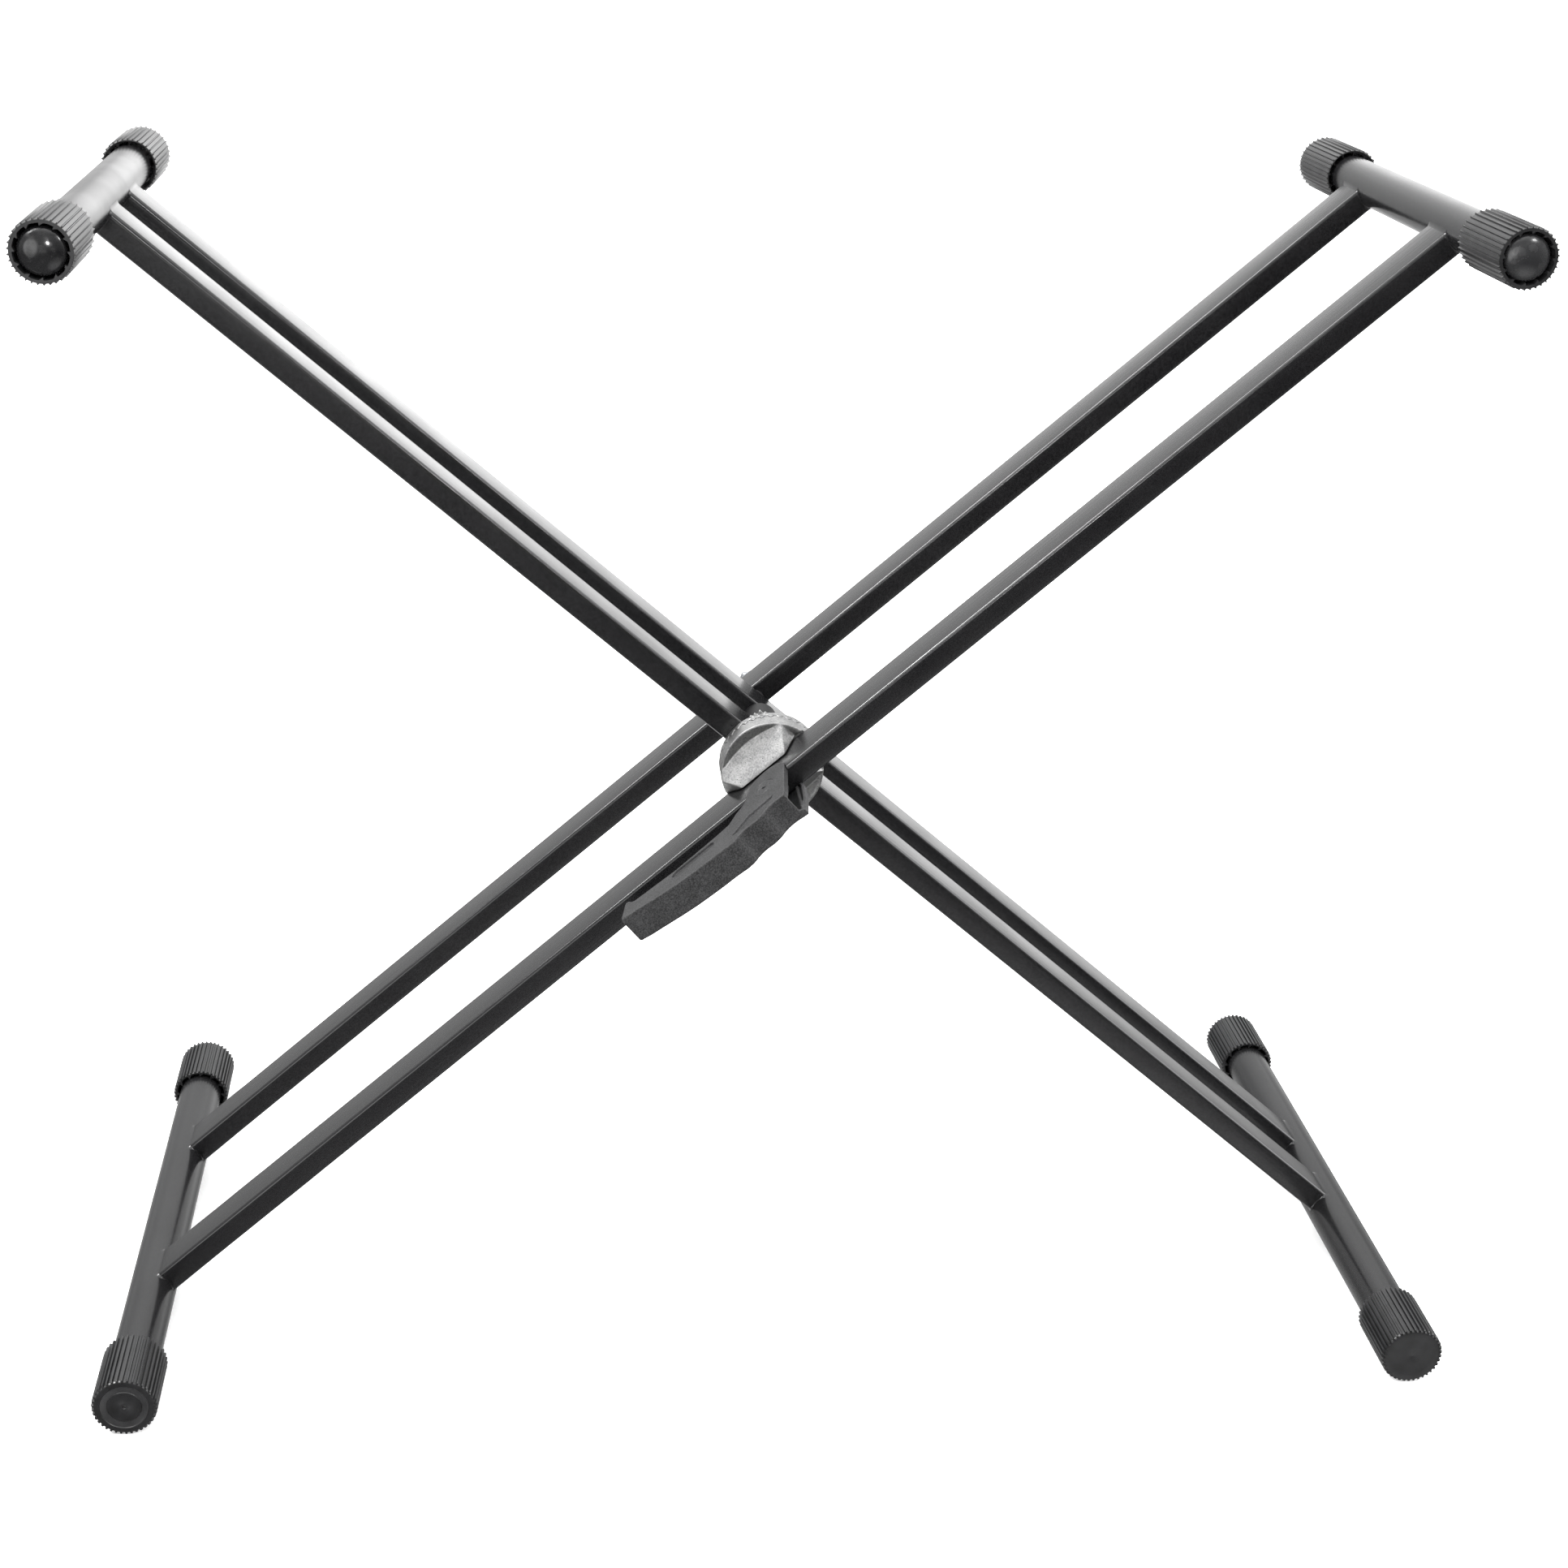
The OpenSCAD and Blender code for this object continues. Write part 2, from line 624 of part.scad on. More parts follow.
in_outer() brace_tube(outer_front_y);  // outer_front_tube
in_outer() brace_tube(outer_rear_y);  // outer_rear_tube
arm_bar(1);  // outer_arm_bar
foot_bar(-1);  // outer_foot_bar
in_outer() bushing(outer_front_y, -1);  // outer_front_bushing
in_outer() bushing(outer_rear_y, 1);  // outer_rear_bushing
arm_sleeve(1, -1);  // outer_arm_front_sleeve
arm_sleeve(1, 1);  // outer_arm_rear_sleeve
arm_plug(1, -1);  // outer_arm_front_plug
arm_plug(1, 1);  // outer_arm_rear_plug
foot_cap(-1, -1);  // outer_foot_front_cap
foot_cap(-1, 1);  // outer_foot_rear_cap
in_inner() brace_tube(inner_front_y);  // inner_front_tube
in_inner() brace_tube(inner_rear_y);  // inner_rear_tube
arm_bar(-1);  // inner_arm_bar
foot_bar(1);  // inner_foot_bar
in_inner() bushing(inner_front_y, 0);  // inner_front_bushing
in_inner() bushing(inner_rear_y, 0);  // inner_rear_bushing
arm_sleeve(-1, -1);  // inner_arm_front_sleeve
arm_sleeve(-1, 1);  // inner_arm_rear_sleeve
arm_plug(-1, -1);  // inner_arm_front_plug
arm_plug(-1, 1);  // inner_arm_rear_plug
foot_cap(1, -1);  // inner_foot_front_cap
foot_cap(1, 1);  // inner_foot_rear_cap
rear_clutch_disc();
inner_spacer_tube();
spring_washer();
rear_spacer();
front_clutch_disc();
pivot_bolt();
pivot_nut();
disc_clip();
spring_collar();
clutch_spring();
lever_pin();
release_lever();
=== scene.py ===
"""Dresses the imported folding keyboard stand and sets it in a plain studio.

Lengths are in millimetres until a piece is made. In a frame's own coordinates u runs up along
its brace tubes from the pivot, y runs to the rear and n stands square to the tubes, upwards.
"""

import logging
import math
from dataclasses import dataclass
from enum import Enum
from typing import Callable, ClassVar, Iterable, Sequence

import bmesh
import bpy
import numpy as np
from mathutils import Matrix, Vector

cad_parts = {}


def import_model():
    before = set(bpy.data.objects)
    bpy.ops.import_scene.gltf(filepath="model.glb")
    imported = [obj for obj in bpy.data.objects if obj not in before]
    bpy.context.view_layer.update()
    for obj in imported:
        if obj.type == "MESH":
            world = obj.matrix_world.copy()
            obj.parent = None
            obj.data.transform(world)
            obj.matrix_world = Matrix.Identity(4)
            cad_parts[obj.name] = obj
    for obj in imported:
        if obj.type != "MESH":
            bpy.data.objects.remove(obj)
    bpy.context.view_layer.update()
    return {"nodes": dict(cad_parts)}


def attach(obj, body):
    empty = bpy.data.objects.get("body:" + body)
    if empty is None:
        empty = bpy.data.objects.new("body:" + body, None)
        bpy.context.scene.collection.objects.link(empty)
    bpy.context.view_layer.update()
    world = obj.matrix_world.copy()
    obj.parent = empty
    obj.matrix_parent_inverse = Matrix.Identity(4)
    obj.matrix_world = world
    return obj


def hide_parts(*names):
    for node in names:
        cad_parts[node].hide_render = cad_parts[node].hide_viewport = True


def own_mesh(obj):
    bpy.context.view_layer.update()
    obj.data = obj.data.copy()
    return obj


LOG = logging.getLogger("keyboard_stand")
MM = 0.001
TURN = 2 * math.pi
# Radius of the small ring that closes a turned piece at its axis
POLE_R = 0.05
Array = np.ndarray
Corners = Sequence[tuple[float, float]]
Profile = Iterable[tuple[Array | float, float]]
Socket = bpy.types.NodeSocket


class Side(Enum):
    """The frame that a piece belongs to."""

    OUTER = "outer"
    INNER = "inner"

    @property
    def body(self) -> str:
        """Name of the body that moves with this frame."""
        return f"{self.value}_frame"

    @property
    def arm_sign(self) -> int:
        """1 where the frame's arm end is on the right."""
        return 1 if self is Side.OUTER else -1


class End(Enum):
    """The end of a bar."""

    FRONT = -1
    REAR = 1

    @property
    def word(self) -> str:
        """The end's name in a node's name."""
        return self.name.lower()


class Bar(Enum):
    """A round bar that joins a frame's brace tubes."""

    FOOT = "foot"
    ARM = "arm"


@dataclass(frozen=True)
class Layout:
    """Where the two frames stand, from the sizes that their pieces share."""

    rest_angle: float = 40.8
    arm_reach: float = 503.5
    foot_reach: float = 510.5
    outer_y: tuple[float, float] = (-79.5, 79.5)
    inner_y: tuple[float, float] = (-31.0, 41.0)
    tube_depth: float = 30.0
    tube_height: float = 15.0
    arm_bar_r: float = 12.7
    foot_bar_r: float = 14.3
    cap_tip_r: float = 19.0
    arm_shift: float = -3.0

    @property
    def pivot_z(self) -> float:
        """Height of the pivot's axis."""
        return self.foot_reach * math.sin(math.radians(self.rest_angle)) + self.cap_tip_r

    @property
    def tube_face(self) -> float:
        """Depth of the front outer tube's front face."""
        return self.outer_y[0] - self.tube_depth / 2

    def to_row(self, points: Array, side: Side) -> Array:
        """Turns points of a frame into the row frame.

        Args:
            points: u, y and n of each point in its last axis.
            side: The frame that they belong to.

        Returns:
            x, y and z of each point, in millimetres.
        """
        a = math.radians(self.rest_angle)
        u, y, n = np.moveaxis(points, -1, 0)
        x = side.arm_sign * (u * math.cos(a) - n * math.sin(a))
        return np.stack([x, y, self.pivot_z + u * math.sin(a) + n * math.cos(a)], -1)

    def bar_radius(self, bar: Bar) -> float:
        """Outer radius of a round bar."""
        return self.foot_bar_r if bar is Bar.FOOT else self.arm_bar_r

    def bar_centre(self, side: Side, bar: Bar) -> tuple[float, float]:
        """Finds the axis of a round bar.

        Args:
            side: The frame that the bar belongs to.
            bar: Which of its two bars.

        Returns:
            x and z of the axis.
        """
        u = -self.foot_reach if bar is Bar.FOOT else self.arm_reach
        x, _, z = self.to_row(np.array([u, 0.0, 0.0]), side)
        return float(x), float(z)


# Surfaces and finishes


def linear(code: str) -> tuple[float, float, float, float]:
    """Turns an sRGB hex colour into linear light.

    Args:
        code: Six hex digits after a hash.

    Returns:
        Red, green, blue and an alpha of 1.
    """
    parts = [int(code[i:i + 2], 16) / 255 for i in (1, 3, 5)]
    r, g, b = (p / 12.92 if p <= 0.04045 else ((p + 0.055) / 1.055) ** 2.4 for p in parts)
    return r, g, b, 1.0


def add_node(tree: bpy.types.NodeTree, kind: str, settings: dict | None = None,
             inputs: dict | None = None) -> bpy.types.Node:
    """Adds a node, with its settings, its socket values and its incoming links.

    Args:
        tree: The tree that takes the node.
        kind: The node's type.
        settings: Values of the node's own properties.
        inputs: A value or an output socket for each input, by name or number.

    Returns:
        The new node.
    """
    made = tree.nodes.new(kind)
    for name, value in (settings or {}).items():
        setattr(made, name, value)
    for name, value in (inputs or {}).items():
        if isinstance(value, Socket):
            tree.links.new(value, made.inputs[name])
        else:
            made.inputs[name].default_value = value
    return made


@dataclass(frozen=True)
class Pattern:
    """A cloudy pattern on a surface: its scale, the levels that count, and its relief.

    A level of low or less counts as none, and a level of high or more as full.
    """

    size_mm: float
    detail: float = 3.0
    rough: float = 0.5
    low: float = 0.3
    high: float = 0.7
    strength: float = 0.0
    depth_mm: float = 0.0


class Surface:
    """A new material: its shader, and the patterns on it in the object's own coordinates."""

    def __init__(self, name: str, values: dict) -> None:
        """Makes the material.

        Args:
            name: The material's name.
            values: Values of the shader's own sockets.
        """
        self.material = bpy.data.materials.new(name)
        self.material.use_nodes = True
        self.tree = self.material.node_tree
        self.tree.nodes.clear()
        self.shader = add_node(self.tree, "ShaderNodeBsdfPrincipled", None, values)
        add_node(self.tree, "ShaderNodeOutputMaterial", None, {"Surface": self.shader.outputs["BSDF"]})
        self.where = add_node(self.tree, "ShaderNodeTexCoord").outputs["Object"]

    def feed(self, name: str, source: Socket) -> None:
        """Links one of the shader's inputs, in place of the link that it may have."""
        self.tree.links.new(source, self.shader.inputs[name])

    def fed(self, name: str) -> dict[str, Socket]:
        """What is linked to one of the shader's inputs so far, under its name, or nothing."""
        return {name: link.from_socket for link in self.shader.inputs[name].links}

    def lay(self, pattern: Pattern, tones: tuple[str, str] | None = None,
            gloss: tuple[float, float] | None = None, share: tuple[Socket, float] | None = None,
            where: Socket | None = None) -> Socket:
        """Lays a pattern on the surface, over the relief of those before it.

        Args:
            pattern: The pattern.
            tones: Hex colours of the surface where the pattern's level is low and where it is high.
            gloss: Roughness of the surface where the level is low and where it is high.
            share: Another pattern's level, and how much of it the tones take in.
            where: Coordinates of the pattern, if not the object's own.

        Returns:
            The pattern's level.
        """
        level = add_node(self.tree, "ShaderNodeTexNoise", None,
                         {"Vector": self.where if where is None else where,
                          "Scale": 1 / (pattern.size_mm * MM), "Detail": pattern.detail,
                          "Roughness": pattern.rough}).outputs["Fac"]
        if tones:
            mixed = level
            if share:
                mixed = add_node(self.tree, "ShaderNodeMath", {"operation": "MULTIPLY_ADD"},
                                 {0: share[0], 1: share[1], 2: level}).outputs["Value"]
            ramp = add_node(self.tree, "ShaderNodeValToRGB", None, {"Fac": mixed})
            for stop, place, code in zip(ramp.color_ramp.elements, (pattern.low, pattern.high), tones):
                stop.position, stop.color = place, linear(code)
            self.feed("Base Color", ramp.outputs["Color"])
        if gloss:
            dull = add_node(self.tree, "ShaderNodeMapRange", None,
                            {"Value": level, "From Min": pattern.low, "From Max": pattern.high,
                             "To Min": gloss[0], "To Max": gloss[1]})
            self.feed("Roughness", dull.outputs["Result"])
        if pattern.strength:
            relief = add_node(self.tree, "ShaderNodeBump", None,
                              {"Strength": pattern.strength, "Distance": pattern.depth_mm * MM,
                               "Height": level, **self.fed("Normal")})
            self.feed("Normal", relief.outputs["Normal"])
        return level


class Finish:
    """A finish: one material, made when a piece first needs it."""

    name: str
    slot: str
    roughness: float

    def build(self) -> bpy.types.Material:
        """Makes the material, or finds it if it is there already."""
        return bpy.data.materials.get(self.name) or self.make().material

    def make(self) -> Surface:
        """Makes the material's surface."""
        raise NotImplementedError


@dataclass(frozen=True)
class PowderCoat(Finish):
    """Black polyester powder coat, baked on steel tube: satin, with a fine speckled orange peel."""

    name: str = "powder_coated_steel"
    slot: str = "coated_steel"
    dark: str = "#0a0a0b"
    pale: str = "#1b1b1c"
    roughness: float = 0.22
    drift_by: tuple[float, float] = (-0.03, 0.05)
    ior: float = 1.5
    drift: Pattern = Pattern(45.0)
    peel: Pattern = Pattern(2.2, detail=1.0, strength=0.3, depth_mm=0.02)
    grain: Pattern = Pattern(0.8, rough=0.7, low=0.38, high=0.62, strength=0.5, depth_mm=0.012)
    rolled_at: float | None = None
    lines: Pattern = Pattern(1.1, detail=2.0, strength=1.0, depth_mm=0.06)
    line_stretch: float = 90.0

    def make(self) -> Surface:
        """Makes the material's surface.

        Returns:
            The surface, with its patterns.
        """
        surface = Surface(self.name, {"Roughness": self.roughness, "IOR": self.ior})
        # The baked film flows unevenly, so the gloss drifts over a hand's width
        least, most = self.drift_by
        surface.lay(self.drift, gloss=(self.roughness + least, self.roughness + most))
        if self.rolled_at is not None:
            # Forming rolls leave faint lines along the tube, which the thin film follows
            along = add_node(surface.tree, "ShaderNodeMapping", {"vector_type": "TEXTURE"},
                             {"Vector": surface.where, "Rotation": (0.0, self.rolled_at, 0.0),
                              "Scale": (self.line_stretch, 1.0, 1.0)})
            surface.lay(self.lines, where=along.outputs["Vector"])
        surface.lay(self.peel)
        surface.lay(self.grain, (self.dark, self.pale))
        return surface


@dataclass(frozen=True)
class MouldedRubber(Finish):
    """Black vulcanised rubber from a mould: dull, greyed by handling on the ribs."""

    name: str = "moulded_rubber"
    slot: str = "ribbed_rubber"
    dark: str = "#121213"
    pale: str = "#202021"
    roughness: float = 0.35
    ior: float = 1.52
    bloom: Pattern = Pattern(9.0, detail=4.0, low=0.35, high=0.75)
    grain: Pattern = Pattern(0.7, strength=0.5, depth_mm=0.04)

    def make(self) -> Surface:
        """Makes the material's surface.

        Returns:
            The surface, with its patterns.
        """
        surface = Surface(self.name, {"Roughness": self.roughness, "IOR": self.ior})
        # Bloom: the grey cast that old rubber gets in patches
        surface.lay(self.bloom, (self.dark, self.pale))
        surface.lay(self.grain)
        return surface


@dataclass(frozen=True)
class GlossMoulding(Finish):
    """Black injection-moulded polypropylene with a polished face and faint scuffs."""

    name: str = "gloss_moulded_plastic"
    slot: str = "gloss_plug"
    colour: str = "#141415"
    roughness: float = 0.12
    scuffed_by: float = 0.3
    ior: float = 1.49
    scuff: Pattern = Pattern(4.0, detail=5.0, low=0.45, high=0.75)

    def make(self) -> Surface:
        """Makes the material's surface.

        Returns:
            The surface, with its patterns.
        """
        surface = Surface(self.name, {"Base Color": linear(self.colour), "IOR": self.ior,
                                      "Roughness": self.roughness})
        surface.lay(self.scuff, gloss=(self.roughness, self.roughness + self.scuffed_by))
        return surface


@dataclass(frozen=True)
class DieCastAluminium(Finish):
    """Raw aluminium die casting: a dull silver, grainy skin with grey specks and small pits."""

    name: str = "raw_die_cast_aluminium"
    slot: str = "cast_aluminium"
    bright: str = "#9c9c9b"
    grey: str = "#7a7a7b"
    pit: str = "#3c3c3d"
    roughness: float = 0.5
    flow_by: float = 0.08
    flow: Pattern = Pattern(9.0)
    flow_share: float = 0.35
    grain: Pattern = Pattern(1.1, detail=4.0, rough=0.7, low=0.52, high=0.78,
                             strength=0.6, depth_mm=0.15)
    pit_mm: float = 2.6
    pit_edge: tuple[float, float] = (0.05, 0.16)
    pit_strength: float = 0.6
    pit_depth_mm: float = 0.2

    def make(self) -> Surface:
        """Makes the material's surface.

        Returns:
            The surface, with its patterns.
        """
        surface = Surface(self.name, {"Roughness": self.roughness, "Metallic": 1.0})
        # Where the metal flowed last it is duller and darker
        flow = surface.lay(self.flow, gloss=(self.roughness + self.flow_by,
                                             self.roughness - self.flow_by))
        surface.lay(self.grain, (self.grey, self.bright), share=(flow, self.flow_share))
        cells = add_node(surface.tree, "ShaderNodeTexVoronoi", None,
                         {"Vector": surface.where, "Scale": 1 / (self.pit_mm * MM)})
        pits = add_node(surface.tree, "ShaderNodeMapRange", None,
                        {"Value": cells.outputs["Distance"], "From Min": self.pit_edge[0],
                         "From Max": self.pit_edge[1], "To Min": 1.0, "To Max": 0.0}).outputs["Result"]
        skin = surface.fed("Base Color")["Base Color"]
        colour = add_node(surface.tree, "ShaderNodeMix", {"data_type": "RGBA"},
                          {"Factor": pits, 6: skin, 7: linear(self.pit)})
        surface.feed("Base Color", colour.outputs[2])
        holes = add_node(surface.tree, "ShaderNodeBump", {"invert": True},
                         {"Strength": self.pit_strength, "Distance": self.pit_depth_mm * MM,
                          "Height": pits, **surface.fed("Normal")})
        surface.feed("Normal", holes.outputs["Normal"])
        return surface


@dataclass(frozen=True)
class GlassFilledNylon(Finish):
    """Black glass-filled nylon from a spark-eroded mould: an even, fine, dull grain."""

    name: str = "glass_filled_nylon"
    slot: str = "lever_plastic"
    dark: str = "#101011"
    pale: str = "#2e2e2f"
    roughness: float = 0.58
    gloss: float = 0.4
    ior: float = 1.53
    flow: Pattern = Pattern(14.0)
    flow_share: float = 0.3
    grain: Pattern = Pattern(0.8, low=0.54, high=0.76, strength=0.7, depth_mm=0.1)

    def make(self) -> Surface:
        """Makes the material's surface.

        Returns:
            The surface, with its patterns.
        """
        surface = Surface(self.name, {"Roughness": self.roughness, "IOR": self.ior,
                                      "Specular IOR Level": self.gloss})
        flow = surface.lay(self.flow)
        surface.lay(self.grain, (self.dark, self.pale), share=(flow, self.flow_share))
        return surface


@dataclass(frozen=True)
class ZincPlate(Finish):
    """Bright zinc plate on turned steel: cool grey, with a soft cloudy sheen."""

    name: str = "zinc_plated_steel"
    slot: str = "zinc_steel"
    bright: str = "#c4c7cb"
    cloudy: str = "#9a9da1"
    roughness: float = 0.3
    cloud: Pattern = Pattern(3.0, detail=4.0, low=0.35, high=0.65, strength=0.3, depth_mm=0.01)

    def make(self) -> Surface:
        """Makes the material's surface.

        Returns:
            The surface, with its patterns.
        """
        surface = Surface(self.name, {"Roughness": self.roughness, "Metallic": 1.0})
        surface.lay(self.cloud, (self.cloudy, self.bright))
        return surface


@dataclass(frozen=True)
class BlackOxide(Finish):
    """Dull turned steel in a dead, dark grey: painted shade, standing in for the shade that the tubes round
    the spacers cast on them.
    """

    name: str = "black_oxide_steel"
    slot: str = "coated_steel"
    dark: str = "#050506"
    pale: str = "#0c0c0d"
    roughness: float = 0.7
    ior: float = 1.45
    bloom: Pattern = Pattern(3.0, low=0.35, high=0.7)

    def make(self) -> Surface:
        """Makes the material's surface.

        Returns:
            The surface, with its patterns.
        """
        surface = Surface(self.name, {"Roughness": self.roughness, "IOR": self.ior})
        surface.lay(self.bloom, (self.dark, self.pale))
        return surface


@dataclass(frozen=True)
class PaleFloor(Finish):
    """Matt white studio floor, with the faintest mottling."""

    name: str = "matt_white_floor"
    slot: str = ""
    pale: str = "#f4f4f4"
    shade: str = "#f0f0f0"
    roughness: float = 0.9
    glow: float = 0.3
    mottle: Pattern = Pattern(400.0, detail=2.0, low=0.4, high=0.6)

    def make(self) -> Surface:
        """Makes the material's surface.

        Returns:
            The surface, with its patterns.
        """
        # The sweep is lit from below too, which washes the shadows out
        surface = Surface(self.name, {"Roughness": self.roughness, "Emission Strength": self.glow,
                                      "Emission Color": linear(self.pale)})
        surface.lay(self.mottle, (self.shade, self.pale))
        return surface


# Meshes


@dataclass
class Shell:
    """Points of one piece, as count x 3, and the faces that number them."""

    points: Array
    faces: list[list[int]]


@dataclass(frozen=True)
class Piece:
    """How one visible piece is named, finished and carried.

    Its name is that of the node that it stands for, with a word for how it was made.
    """

    node: str
    how: str
    finish: Finish
    body: str
    sharp_deg: float = 38.0
    replaces: bool = True

    def make(self, shell: Shell) -> bpy.types.Object:
        """Makes the piece's mesh object and hangs it on its body.

        Args:
            shell: Its points in millimetres, in the row frame, and its faces.

        Returns:
            The new object.
        """
        name = f"{self.node}_{self.how}"
        mesh = bpy.data.meshes.new(name)
        mesh.from_pydata((shell.points * MM).tolist(), [], shell.faces)
        work = bmesh.new()
        work.from_mesh(mesh)
        bmesh.ops.recalc_face_normals(work, faces=work.faces)
        work.to_mesh(mesh)
        work.free()
        mesh.validate()
        mesh.shade_smooth()
        mesh.set_sharp_from_angle(angle=math.radians(self.sharp_deg))
        mesh.materials.append(self.finish.build())
        thing = bpy.data.objects.new(name, mesh)
        bpy.context.scene.collection.objects.link(thing)
        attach(thing, self.body)
        if self.replaces:
            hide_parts(self.node)
        LOG.info("%s: %d faces on %s", name, len(mesh.polygons), self.body)
        return thing


def loft(rings: Array, closed: bool = False) -> Shell:
    """Skins a row of closed rings.

    Args:
        rings: The rings' points, as rows x points x 3.
        closed: True if the last ring joins the first; otherwise both ends get a lid.

    Returns:
        The skin.
    """
    rows, cols = rings.shape[:2]
    r, c = np.meshgrid(np.arange(rows if closed else rows - 1), np.arange(cols), indexing="ij")
    r2, c2 = (r + 1) % rows, (c + 1) % cols
    quads = np.stack([r * cols + c, r * cols + c2, r2 * cols + c2, r2 * cols + c], -1)
    faces = quads.reshape(-1, 4).tolist()
    if not closed:
        faces.append(list(range(cols))[::-1])
        faces.append([(rows - 1) * cols + i for i in range(cols)])
    return Shell(rings.reshape(-1, 3), faces)


def directions(count: int, start: float = 0.0) -> tuple[Array, Array]:
    """Cosines and sines of angles spread evenly over a turn."""
    a = np.arange(count) * TURN / count + start
    return np.cos(a), np.sin(a)


def turned(profile: Profile, axis: tuple[float, float], across: Array, up: Array) -> Array:
    """Rings round an axis that runs to the rear.

    Args:
        profile: Radius and y of each ring; a radius may differ from direction to direction.
        axis: x and z of the axis.
        across: The x part of each direction.
        up: The z part of each direction.

    Returns:
        The rings, as rows x directions x 3.
    """
    return np.array([np.stack([axis[0] + r * across, np.full(len(across), y), axis[1] + r * up], -1)
                     for r, y in profile])


def rounded_section(width: float, height: float, corner: float, steps: int) -> Array:
    """Outline of a rectangle with round corners.

    Args:
        width: Its first side.
        height: Its second side.
        corner: Radius of its corners.
        steps: Segments in a corner.

    Returns:
        Its points in order, as count x 2.
    """
    rows = []
    for turn, (sx, sy) in enumerate(((1, 1), (-1, 1), (-1, -1), (1, -1))):
        a = turn * TURN / 4 + np.linspace(0, TURN / 4, steps + 1)
        centre = np.array([sx * (width / 2 - corner), sy * (height / 2 - corner)])
        rows.append(centre + corner * np.stack([np.cos(a), np.sin(a)], -1))
    return np.concatenate(rows)


# Solid fields: each gives a distance that is negative inside the solid


def joined(a: Array, b: Array, fillet: float) -> Array:
    """Union of two solids, with a fillet between them."""
    inner = np.hypot(np.maximum(fillet - a, 0), np.maximum(fillet - b, 0))
    return np.maximum(fillet, np.minimum(a, b)) - inner


def shared(a: Array, b: Array, rounding: float) -> Array:
    """What two solids share, with its new edges rounded."""
    return -joined(-a, -b, rounding)


def cut(a: Array, b: Array, rounding: float) -> Array:
    """The first solid without the second, with its new edges rounded."""
    return shared(a, -b, rounding)


def outline_distance(x: Array, y: Array, corners: Corners) -> Array:
    """Signed distance from points to a closed outline.

    Args:
        x: The points' first coordinate.
        y: The points' second coordinate.
        corners: The outline's corners in order.

    Returns:
        The distances, negative inside.
    """
    nearest = np.full(np.broadcast(x, y).shape, np.inf)
    inside = np.zeros(nearest.shape, bool)
    for (ax, ay), (bx, by) in zip(corners, [*corners[1:], corners[0]]):
        ex, ey = bx - ax, by - ay
        t = np.clip(((x - ax) * ex + (y - ay) * ey) / (ex * ex + ey * ey), 0, 1)
        nearest = np.minimum(nearest, (x - ax - ex * t) ** 2 + (y - ay - ey * t) ** 2)
        if ey:
            inside ^= ((ay > y) != (by > y)) & (x < ex * (y - ay) / ey + ax)
    return np.where(inside, -1, 1) * np.sqrt(nearest)


def surface_net(solid: Callable[[Array, Array, Array], Array],
                low: Sequence[float], high: Sequence[float], step: float) -> Shell:
    """Skins a solid field with quads, one point in each cell that its surface crosses.

    Args:
        solid: Gives the field's value from three coordinate arrays that broadcast.
        low: Lowest corner of the box that holds the solid.
        high: Highest corner of that box.
        step: Size of a cell.

    Returns:
        The skin, with its faces turned outwards.
    """
    axes = [np.arange(a, b + step, step) for a, b in zip(low, high)]
    value = solid(axes[0][:, None, None], axes[1][None, :, None], axes[2][None, None, :])
    inside = value < 0
    size = np.array(value.shape)
    corners = np.array([[i, j, k] for i in (0, 1) for j in (0, 1) for k in (0, 1)])
    held = sum(inside[i:size[0] - 1 + i, j:size[1] - 1 + j, k:size[2] - 1 + k].astype(np.int8)
               for i, j, k in corners)
    crossed = (held > 0) & (held < 8)
    cells = np.argwhere(crossed)
    number = np.full(crossed.shape, -1)
    number[crossed] = np.arange(len(cells))
    total = np.zeros((len(cells), 3))
    hits = np.zeros(len(cells))
    for a in corners:
        for b in corners:
            if (b - a).min() < 0 or (b - a).sum() != 1:
                continue
            va, vb = value[tuple((cells + a).T)], value[tuple((cells + b).T)]
            hit = (va < 0) != (vb < 0)
            share = (va[hit] / (va[hit] - vb[hit]))[:, None]
            total[hit] += cells[hit] + a + share * (b - a)
            hits[hit] += 1
    points = np.array([axis[0] for axis in axes]) + step * total / hits[:, None]
    faces = []
    for axis in range(3):
        one, two = (axis + 1) % 3, (axis + 2) % 3
        start, after = [slice(None)] * 3, [slice(None)] * 3
        start[axis], after[axis] = slice(0, -1), slice(1, None)
        edges = np.argwhere(inside[tuple(start)] != inside[tuple(after)])
        near = (edges[:, one] > 0) & (edges[:, two] > 0)
        near &= (edges[:, one] < size[one] - 1) & (edges[:, two] < size[two] - 1)
        edges = edges[near]
        step_one, step_two = np.eye(3, dtype=int)[[one, two]]
        ring = [edges, edges - step_one, edges - step_one - step_two, edges - step_two]
        quads = np.stack([number[tuple(c.T)] for c in ring], -1)
        backward = ~inside[tuple(edges.T)]
        quads[backward] = quads[backward][:, ::-1]
        faces.extend(quads.tolist())
    return Shell(points, faces)


# Steel frames


